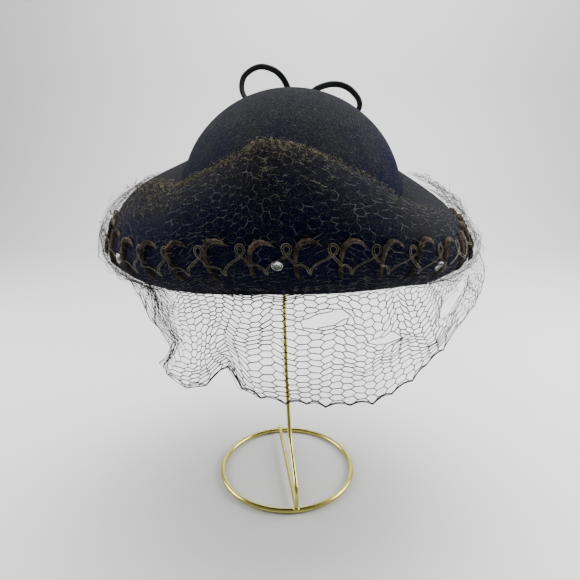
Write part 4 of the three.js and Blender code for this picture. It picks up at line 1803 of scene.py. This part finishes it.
@dataclass
class Stones:
    """Round cut stones in thin cups on the felt between the scrolls. Sizes in millimetres."""

    form: HatForm
    bench: Workbench
    count: int = 7
    up: float = 30.0
    facets: int = 8
    girdle: float = 3.15
    star: float = 2.5
    table: float = 1.7
    foot: float = 1.55

    def build(self, stone: Material, cup: Material) -> None:
        """Makes every stone and its cup.

        Args:
            stone: the stones' material.
            cup: the cups' material.
        """
        for number in range(1, self.count + 1):
            low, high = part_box(f"rhinestone_{number}")
            middle = (low + high) / 2
            turn = math.degrees(math.atan2(middle.x - self.form.axis[0], -(middle.y - self.form.axis[1])))
            seat = self.form.on_brim(turn, self.up, 0.0)
            out = self.form.on_brim(turn, self.up, 1.0) - seat
            turned = Vector(out / np.linalg.norm(out)).to_track_quat("Z", "Y").to_matrix().to_4x4()
            gem = self.bench.solid(f"stone_{number}", self._cut(), self._cut_faces(), stone, smooth=False)
            ring = self.bench.solid(f"stone_cup_{number}", *self._cup(), cup)
            for piece in (gem, ring):
                piece.data.transform(turned)
                piece.data.transform(Matrix.Translation(Vector(seat)))
            self.bench.hand_in(gem, "crystal", f"rhinestone_{number}")
            self.bench.hand_in(ring, "brass")

    def _cut(self) -> Array:
        """The stone's corners: its foot, two girdle rings, a star ring and its table."""
        def ring(radius: float, height: float, count: int, turn: float) -> list[Point]:
            """One ring of corners, turned by a share of its step."""
            angles = [(j + turn) / count * 2 * math.pi for j in range(count)]
            return [(radius * math.cos(a), radius * math.sin(a), height) for a in angles]

        n = self.facets
        rows = (
            ring(self.foot, 0.45, 2 * n, 0.5) + ring(self.girdle, 1.9, 2 * n, 0.5)
            + ring(self.girdle, 2.15, 2 * n, 0.5) + ring(self.star, 2.95, n, 0.0)
            + ring(self.table, 3.4, n, 0.5)
        )
        return np.array(rows) / 1000

    def _cut_faces(self) -> Faces:
        """The stone's facets."""
        n, m = self.facets, 2 * self.facets
        faces: Faces = [tuple(reversed(range(m)))]
        for low, high in ((0, m), (m, 2 * m)):
            faces += [(low + j, low + (j + 1) % m, high + (j + 1) % m, high + j) for j in range(m)]
        girdle, star, table = 2 * m, 3 * m, 3 * m + n
        for j in range(n):
            left, right, further = girdle + (2 * j - 1) % m, girdle + 2 * j, girdle + (2 * j + 1) % m
            here, above, beyond = star + j, table + j, star + (j + 1) % n
            faces += [
                (left, right, here), (right, further, above), (right, above, here),
                (further, beyond, above), (beyond, table + (j + 1) % n, above),
            ]
        faces.append(tuple(table + j for j in range(n)))
        return faces

    def _cup(self) -> tuple[Array, Faces]:
        """A thin cup wall with a small lip round the girdle."""
        sides = 32
        outline = [
            (1.9, 0.25), (3.38, 1.5), (3.45, 2.2), (3.3, 2.7), (2.98, 2.78),
            (2.95, 2.55), (3.22, 2.3), (3.2, 1.7), (1.78, 0.4),
        ]
        angle = np.arange(sides) / sides * 2 * np.pi
        rings = [[(r * np.cos(a), r * np.sin(a), z) for r, z in outline] for a in angle]
        return np.array(rings).reshape(-1, 3) / 1000, ring_faces(sides, len(outline), loop=True)


# Bow


@dataclass
class Bow:
    """Two flat felt loops that turn on their own axis, and the knot that joins them.

    Sizes are in millimetres from the stand's axis.
    """

    stand_axis: Pair
    bench: Workbench
    width: float = 5.0
    thick: float = 2.2
    corner: float = 0.7
    uneven: Drift = Drift(0.012, 9.0, 0.18)
    steps: int = 110
    knot_place: Point = (9.0, 67.0, 323.0)
    knot_half: Point = (6.0, 4.0, 3.6)
    left: Table = Table(
        ("x", "y", "z", "twist"),
        (
            (3.5, 64, 327, 75), (-1, 63, 342, 75), (-9, 61, 351, 65), (-22.5, 60, 354.5, 52),
            (-35.5, 60, 347, 42), (-37.5, 61, 335, 38), (-30, 65, 325, 25), (-15, 68, 322, 20),
            (1.5, 68, 322, 15),
        ),
    )
    right: Table = Table(
        ("x", "y", "z", "twist"),
        (
            (16.5, 64, 328, -70), (25, 61, 337, -74), (40, 60, 341, -70), (53, 60, 337, -60),
            (62, 61, 325.5, -42), (58, 66, 315, -30), (45, 70, 312, -20), (31, 70, 316, -15),
            (17.5, 68, 321, -15),
        ),
    )

    def loop(self, name: str, node: str, table: Table, finish: Material) -> None:
        """Makes one loop of strap.

        Args:
            name: the piece's name.
            node: the solid that it stands for.
            table: the loop's points and its twist.
            finish: its material.
        """
        rows = np.array(table.rows, float)
        line = smooth_path(rows[:, :3], self.steps)
        raw = smooth_path(rows[:, :3], self.steps * 4)
        along = np.concatenate([[0], np.cumsum(np.linalg.norm(np.diff(raw, axis=0), axis=1))])
        marks = [float(along[np.argmin(np.linalg.norm(raw - row, axis=1))]) for row in rows[:, :3]]
        twist = np.interp(np.linspace(0, along[-1], self.steps + 1), marks, rows[:, 3])
        ahead = headings(line)
        wide = unit(np.array([0, 1, 0]) - ahead[:, 1:2] * ahead)
        angle = np.radians(twist)[:, None]
        side = wide * np.cos(angle) + np.cross(ahead, wide) * np.sin(angle)
        corner = self.corner
        flat_w, flat_t = self.width / 2 - corner, self.thick / 2 - corner
        outline = []
        for x, y, start in ((1, 1, 0), (-1, 1, 90), (-1, -1, 180), (1, -1, 270)):
            for step in (0, 30, 60, 90):
                a = math.radians(start + step)
                outline.append((x * flat_w + corner * math.cos(a), y * flat_t + corner * math.sin(a)))
        points = swept(line, np.array(outline), side) / 1000
        points = points + [*self.stand_axis, 0]
        flat = points.reshape(-1, 3)
        flat = flat + self.uneven.moves(flat)
        faces = ring_faces(len(points), points.shape[1], loop=False)
        self.bench.hand_in(self.bench.solid(name, flat, faces, finish), "strap_felt", node)

    def knot(self, finish: Material) -> None:
        """Makes the knot: a plump wrap of the same strap with soft folds round it.

        Args:
            finish: its material.
        """
        rings, sides = 22, 40
        points = []
        for _, lean, angle in ball(rings, sides):
            fold = 1 + 0.05 * math.cos(3 * angle + 2 * math.cos(lean)) + 0.03 * math.cos(9 * angle)
            points.append((
                self.knot_half[0] * math.cos(lean),
                self.knot_half[1] * math.sin(lean) * math.cos(angle) * fold,
                self.knot_half[2] * math.sin(lean) * math.sin(angle) * fold,
            ))
        faces = ring_faces(rings - 1, sides, loop=False)
        placed = (np.array(points) + self.knot_place) / 1000 + [*self.stand_axis, 0]
        piece = self.bench.solid("bow_knot_wrap", placed, faces, finish)
        self.bench.hand_in(piece, "strap_felt", "bow_knot")


# Stand


@dataclass
class WireStand:
    """The brass stand: a ring on the floor, the bar that bends up into the stem, the support.

    Sizes are in millimetres from the ring's own centre.
    """

    stand_axis: Pair
    bench: Workbench
    crown_x: float = 4.0
    ring_radius: float = 60.0
    ring_wire: float = 4.6
    stem_wire: float = 3.5
    sides: int = 14
    solder: float = 0.5
    bar_turn: float = 7.7
    bar_near: Pair = (8.4, -62.3)
    bar_length: float = 126.0
    support_radius: float = 36.0
    support_z: float = 326.0
    stem: Table = Table(
        ("along", "z"),
        (
            (0, 13), (3, 24), (20, 35), (41, 48), (58, 80), (73, 125), (80, 165), (84, 215),
            (89, 270), (93, 312),
        ),
    )

    def build(self, finish: Material) -> None:
        """Makes the whole stand as one piece.

        Args:
            finish: its material.
        """
        bar_z = self.ring_wire + self.stem_wire / 2 - self.solder
        shells = [
            self._ring(self.ring_radius, self.ring_wire / 2, (0, 0, self.ring_wire / 2), 160),
            self._ring(self.support_radius, self.stem_wire / 2, (self.crown_x, 0, self.support_z), 96),
            self._stem(bar_z),
        ]
        for along in (2.6, self.bar_length - 3.6):
            shells.append(self._bead(self._on_bar(along, self.ring_wire - 0.1)))
        shells.append(self._bead((-4, self.support_radius - 1.4, self.support_z - 0.6)))
        points, faces = [], []
        for shell, shell_faces in shells:
            first = sum(len(p) for p in points)
            points.append(shell)
            faces += [tuple(first + k for k in face) for face in shell_faces]
        placed = np.concatenate(points) / 1000 + [*self.stand_axis, 0]
        self.bench.hand_in(self.bench.solid("brass_stand", placed, faces, finish), "brass", "stand")

    def _on_bar(self, along: float, z: float) -> Point:
        """A point of the bar's line at a length from its near end."""
        angle = math.radians(self.bar_turn)
        return (self.bar_near[0] - along * math.sin(angle), self.bar_near[1] + along * math.cos(angle), z)

    def _ring(
        self, radius: float, wire: float, centre: Point, stations: int
    ) -> tuple[Array, list]:
        """A level ring of round wire."""
        turn = np.arange(stations) / stations * 2 * np.pi
        section = circle(self.sides, wire)
        r, z = radius + section[:, 0], centre[2] + section[:, 1]
        rings = [np.stack([centre[0] + r * np.cos(a), centre[1] + r * np.sin(a), z], -1) for a in turn]
        return np.array(rings).reshape(-1, 3), ring_faces(stations, self.sides, loop=True)

    def _stem(self, bar_z: float) -> tuple[Array, list]:
        """The bar and the stem, one wire with a rounded start.

        Args:
            bar_z: the height of the bar's middle.

        Returns:
            Its points and faces.
        """
        marks = [
            self._on_bar(self.bar_length, bar_z), self._on_bar(self.bar_length / 2, bar_z),
            self._on_bar(6, bar_z), self._on_bar(1.5, bar_z + 1.5),
        ]
        marks += [self._on_bar(along, z) for along, z in self.stem.rows]
        marks.append((-4, self.support_radius - 2, self.support_z))
        line = smooth_path(np.array(marks, float), 220)
        width = np.full(len(line), self.stem_wire / 2)
        width[0], width[1] = self.stem_wire / 4, self.stem_wire / 2.2
        outline = circle(self.sides, 1.0)[None] * width[:, None, None]
        points = swept(line, outline, steady_side(line))
        return points.reshape(-1, 3), ring_faces(len(line), self.sides, loop=False)

    def _bead(self, centre: Point) -> tuple[Array, list]:
        """A small uneven bead of solder.

        Args:
            centre: its middle.

        Returns:
            Its points and faces.
        """
        rings = 9
        points = []
        for i, lean, angle in ball(rings, self.sides):
            puff = 1 + 0.12 * math.sin(3 * angle + i)
            points.append((
                centre[0] + 2.9 * puff * math.sin(lean) * math.cos(angle),
                centre[1] + 3.0 * puff * math.sin(lean) * math.sin(angle),
                centre[2] + 1.5 * math.cos(lean),
            ))
        return np.array(points), ring_faces(rings - 1, self.sides, loop=False)


# Studio


@dataclass
class StudioCamera:
    """The camera at the picture's own place. Sizes are in millimetres from the stand's axis."""

    stand_axis: Pair
    place: Point = (2.75, -452.4, 344.5)
    pitch: float = 20.1
    focal: float = 575.0
    sensor: float = 36.0

    def build(self) -> None:
        """Makes the camera and lets the scene use it."""
        data = bpy.data.cameras.new("picture_camera")
        data.sensor_width = self.sensor
        data.lens = self.focal / PICTURE * self.sensor
        data.clip_start = 0.01
        camera = bpy.data.objects.new("picture_camera", data)
        camera.location = Vector(self._where())
        camera.rotation_euler = (math.radians(90 - self.pitch), 0, 0)
        bpy.context.scene.collection.objects.link(camera)
        bpy.context.scene.camera = camera

    def _where(self) -> Array:
        """The camera's place in metres."""
        return np.array(self.place) / 1000 + [*self.stand_axis, 0]

    def _seen(self, points: Array) -> tuple[Array, Array, Array]:
        """How far points lie to the right of the camera, ahead of it and above its view."""
        tilt = math.radians(self.pitch)
        x, y, z = (points - self._where()).T
        return x, y * math.cos(tilt) - z * math.sin(tilt), y * math.sin(tilt) + z * math.cos(tilt)

    def moved(self, points: Array, push: Array) -> Array:
        """The moves across and up, in metres, that push points by some pixels.

        Args:
            points: an array (count, 3) in metres.
            push: an array (count, 2) of pixels.

        Returns:
            An array (count, 3) of moves.
        """
        scale = self._seen(points)[1] / self.focal
        up = -push[:, 1] * scale / math.cos(math.radians(self.pitch))
        return np.stack([push[:, 0] * scale, np.zeros_like(up), up], -1)

    def pixels(self, points: Array) -> Array:
        """Where points fall in the picture.

        Args:
            points: an array (count, 3) in metres.

        Returns:
            An array (count, 2) of pixels.
        """
        x, depth, rise = self._seen(points)
        half = PICTURE / 2
        return np.stack([half + self.focal * x / depth, half - self.focal * rise / depth], -1)


@dataclass(frozen=True)
class Panel:
    """A square soft light.

    Args:
        name: its name.
        place: its middle, in metres.
        target: the place that it faces.
        size: the length of its sides in metres.
        power: its power in watts.
    """

    name: str
    place: Point
    target: Point
    size: float
    power: float


@dataclass
class Studio:
    """A plain pale floor that curves up behind, and soft light from both sides and above.

    Sizes are in metres.
    """

    floor_half: float = 3.0
    back: float = 0.75
    bend: float = 0.35
    wall_top: float = 3.0
    surround: Colour = (0.93, 0.95, 1.0, 1.0)
    surround_strength: float = 0.28
    panels: tuple[Panel, ...] = (
        Panel("left_panel", (-0.75, 0.1, 0.42), (0.0, 0.0, 0.22), 0.5, 6.0),
        Panel("right_panel", (0.75, 0.1, 0.42), (0.0, 0.0, 0.22), 0.5, 8.5),
        Panel("top_panel", (0.0, 0.1, 1.2), (0.0, 0.05, 0.2), 0.8, 18.0),
        Panel("wall_panel", (0.3, 0.35, 1.3), (0.4, 1.1, 0.45), 0.8, 18.0),
    )

    def floor(self) -> None:
        """The floor and its curved back, as one sheet."""
        steps = 16
        line = [(-self.floor_half, 0.0), (self.back, 0.0)]
        for i in range(1, steps + 1):
            angle = i / steps * math.pi / 2
            line.append((self.back + self.bend * math.sin(angle), self.bend * (1 - math.cos(angle))))
        line.append((self.back + self.bend, self.wall_top))
        points = [(side * self.floor_half, y, z) for y, z in line for side in (-1, 1)]
        faces = [(2 * i, 2 * i + 1, 2 * i + 3, 2 * i + 2) for i in range(len(line) - 1)]
        mesh = bpy.data.meshes.new("floor")
        mesh.from_pydata(points, [], faces)
        mesh.polygons.foreach_set("use_smooth", [True] * len(mesh.polygons))
        made = bpy.data.objects.new("floor", mesh)
        bpy.context.scene.collection.objects.link(made)
        material, graph, shader, place = new_material("pale_floor")
        cloud = graph.span(graph.noise(place, 1.4, 3.0, 0.5), 0.3, 0.7, 0.0, 1.0)
        graph.feed(shader, {
            "Base Color": graph.blend(cloud, (0.70, 0.70, 0.695, 1), (0.74, 0.74, 0.735, 1)),
            "Roughness": 0.55, "Specular IOR Level": 0.3,
        })
        mesh.materials.append(material)

    def light(self) -> None:
        """The soft panels and the pale surround."""
        world = bpy.data.worlds.new("pale_surround")
        bpy.context.scene.world = world
        world.use_nodes = True
        back = world.node_tree.nodes["Background"]
        back.inputs["Color"].default_value = self.surround
        back.inputs["Strength"].default_value = self.surround_strength
        for panel in self.panels:
            data = bpy.data.lights.new(panel.name, "AREA")
            data.shape, data.size, data.energy = "SQUARE", panel.size, panel.power
            lamp = bpy.data.objects.new(panel.name, data)
            lamp.location = panel.place
            aim = Vector(panel.target) - Vector(panel.place)
            lamp.rotation_euler = aim.to_track_quat("-Z", "Y").to_euler()
            bpy.context.scene.collection.objects.link(lamp)


@dataclass(frozen=True)
class Palette:
    """Every finish of the hat and its stand."""

    # Painted light from above on the felt and the strap: faces that look up are painted paler, faces that
    # look down darker.
    felt: FeltFinish = FeltFinish(
        "navy_felt", (0.0002, 0.0011, 0.0140, 1), (0.0104, 0.0108, 0.0134, 1), (0.11, 0.104, 0.105, 1),
        painted_overhead_light=0.85, flecks=0.5, sheen=0.015,
    )
    strap: FeltFinish = FeltFinish(
        "black_strap_felt", (0.018, 0.020, 0.019, 1), (0.055, 0.060, 0.055, 1), (0.11, 0.11, 0.10, 1),
        painted_overhead_light=0.2, flecks=0.15, sheen=0.01, bump=0.0002,
    )
    # Painted highlights: the short pale stretches and flecks along the dark net thread stand for glints
    # where light catches it.
    net: ThreadFinish = ThreadFinish(
        "brown_net", (0.0035, 0.003, 0.0025, 1), (0.20, 0.195, 0.18, 1), (0.45, 0.43, 0.38, 1),
        # Painted shade: the net is painted darker below the hem, where the brim shades it.
        cloud=230.0, cloud_edge=0.06, lift=-0.42, flecks=0.3, painted_shade_below=0.1971, painted_shade_falls=0.2,
    )
    # Painted highlight: a lighter, golden copy of the net's colours for the bunched net at the crest, where
    # light catches it.
    bunched: ThreadFinish = ThreadFinish(
        "golden_brown_net", (0.005, 0.0042, 0.0035, 1), (0.36, 0.31, 0.205, 1), (0.85, 0.76, 0.56, 1),
        cloud=420.0, cloud_edge=0.06, lift=-0.42,
    )
    # Painted light along each scroll: bright at its head, painted darker towards its tail.
    yarn: ThreadFinish = ThreadFinish(
        "taupe_yarn", (0.014, 0.0112, 0.0095, 1), (0.18, 0.132, 0.092, 1), (0.34, 0.27, 0.19, 1),
        plies=3, turns=260, roughness=0.85, bump=0.0004, cloud=130.0, cloud_edge=0.09, lift=-0.05,
        painted_head_light_to=0.03,
    )
    gold: ThreadFinish = ThreadFinish(
        "old_gold_cord", (0.02, 0.016, 0.011, 1), (0.26, 0.23, 0.165, 1), (0.46, 0.42, 0.32, 1),
        turns=700, metallic=0.3, roughness=0.5, gloss=0.3, bump=0.0002,
    )
    dark: ThreadFinish = ThreadFinish(
        "dark_cord", (0.004, 0.004, 0.005, 1), (0.024, 0.022, 0.020, 1), (0.06, 0.055, 0.05, 1),
        roughness=0.7,
    )
    brass: BrassFinish = BrassFinish()
    stone: GlossFinish = GlossFinish(
        "clear_stone", (0.92, 0.94, 0.96, 1), (0.62, 0.66, 0.70, 1), 700.0, 3.0, (0.4, 0.65, 0.8),
        (0.02, 0.1), {"Transmission Weight": 1.0, "IOR": 1.56},
    )
    cup: GlossFinish = GlossFinish(
        "stone_cup", (0.78, 0.78, 0.76, 1), (0.35, 0.33, 0.30, 1), 500.0, 4.0, (0.42, 0.66, 1.0),
        (0.18, 0.42), {"Metallic": 1.0},
    )


def main() -> None:
    """Builds the studio, then the stand, the felt, the trim, the bow and the net."""
    logging.basicConfig(level=logging.INFO, format="%(name)s: %(message)s")
    noise.seed_set(NOISE_SEED)
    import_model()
    low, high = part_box("crown")
    crown_axis = ((low.x + high.x) / 2, (low.y + high.y) / 2)
    stand_axis = (crown_axis[0] - millimetres(WireStand.crown_x), crown_axis[1])
    camera = StudioCamera(stand_axis)
    camera.build()
    studio = Studio()
    studio.floor()
    studio.light()

    bench, groups, palette = Workbench(), ShaderGroups(), Palette()
    form = HatForm(crown_axis)
    FeltBody(form, bench).build(palette.felt.make(groups))
    WireStand(stand_axis, bench).build(palette.brass.make())
    trim = Trim(form, bench)
    trim.scrolls(palette.yarn.make(groups))
    trim.cords(palette.gold.make(groups), palette.dark.make(groups))
    Stones(form, bench).build(palette.stone.make(), palette.cup.make())

    bow, strap = Bow(stand_axis, bench), palette.strap.make(groups)
    bow.loop("bow_strap_left", "bow_loop_left", bow.left, strap)
    bow.loop("bow_strap_right", "bow_loop_right", bow.right, strap)
    bow.knot(strap)

    net, bunched = palette.net.make(groups), palette.bunched.make(groups)
    veil = Veil(form, bench)
    sheet = veil.build(camera, net)
    bench.hand_in(sheet, "net", "veil")
    loose = LooseNet(form, bench)
    gather = loose.bundle(loose.gather, *loose.crest_line(), bunched)
    tuft = loose.bundle(loose.tuft, *loose.wing_line(), net)
    bench.hand_in(gather, "net", loose.gather.node)
    bench.hand_in(tuft, "net", loose.tuft.node)
    width, length = veil.flat_size()
    LOG.info("net %.3f by %.3f m", width, length)


if __name__ == "__main__":
    main()
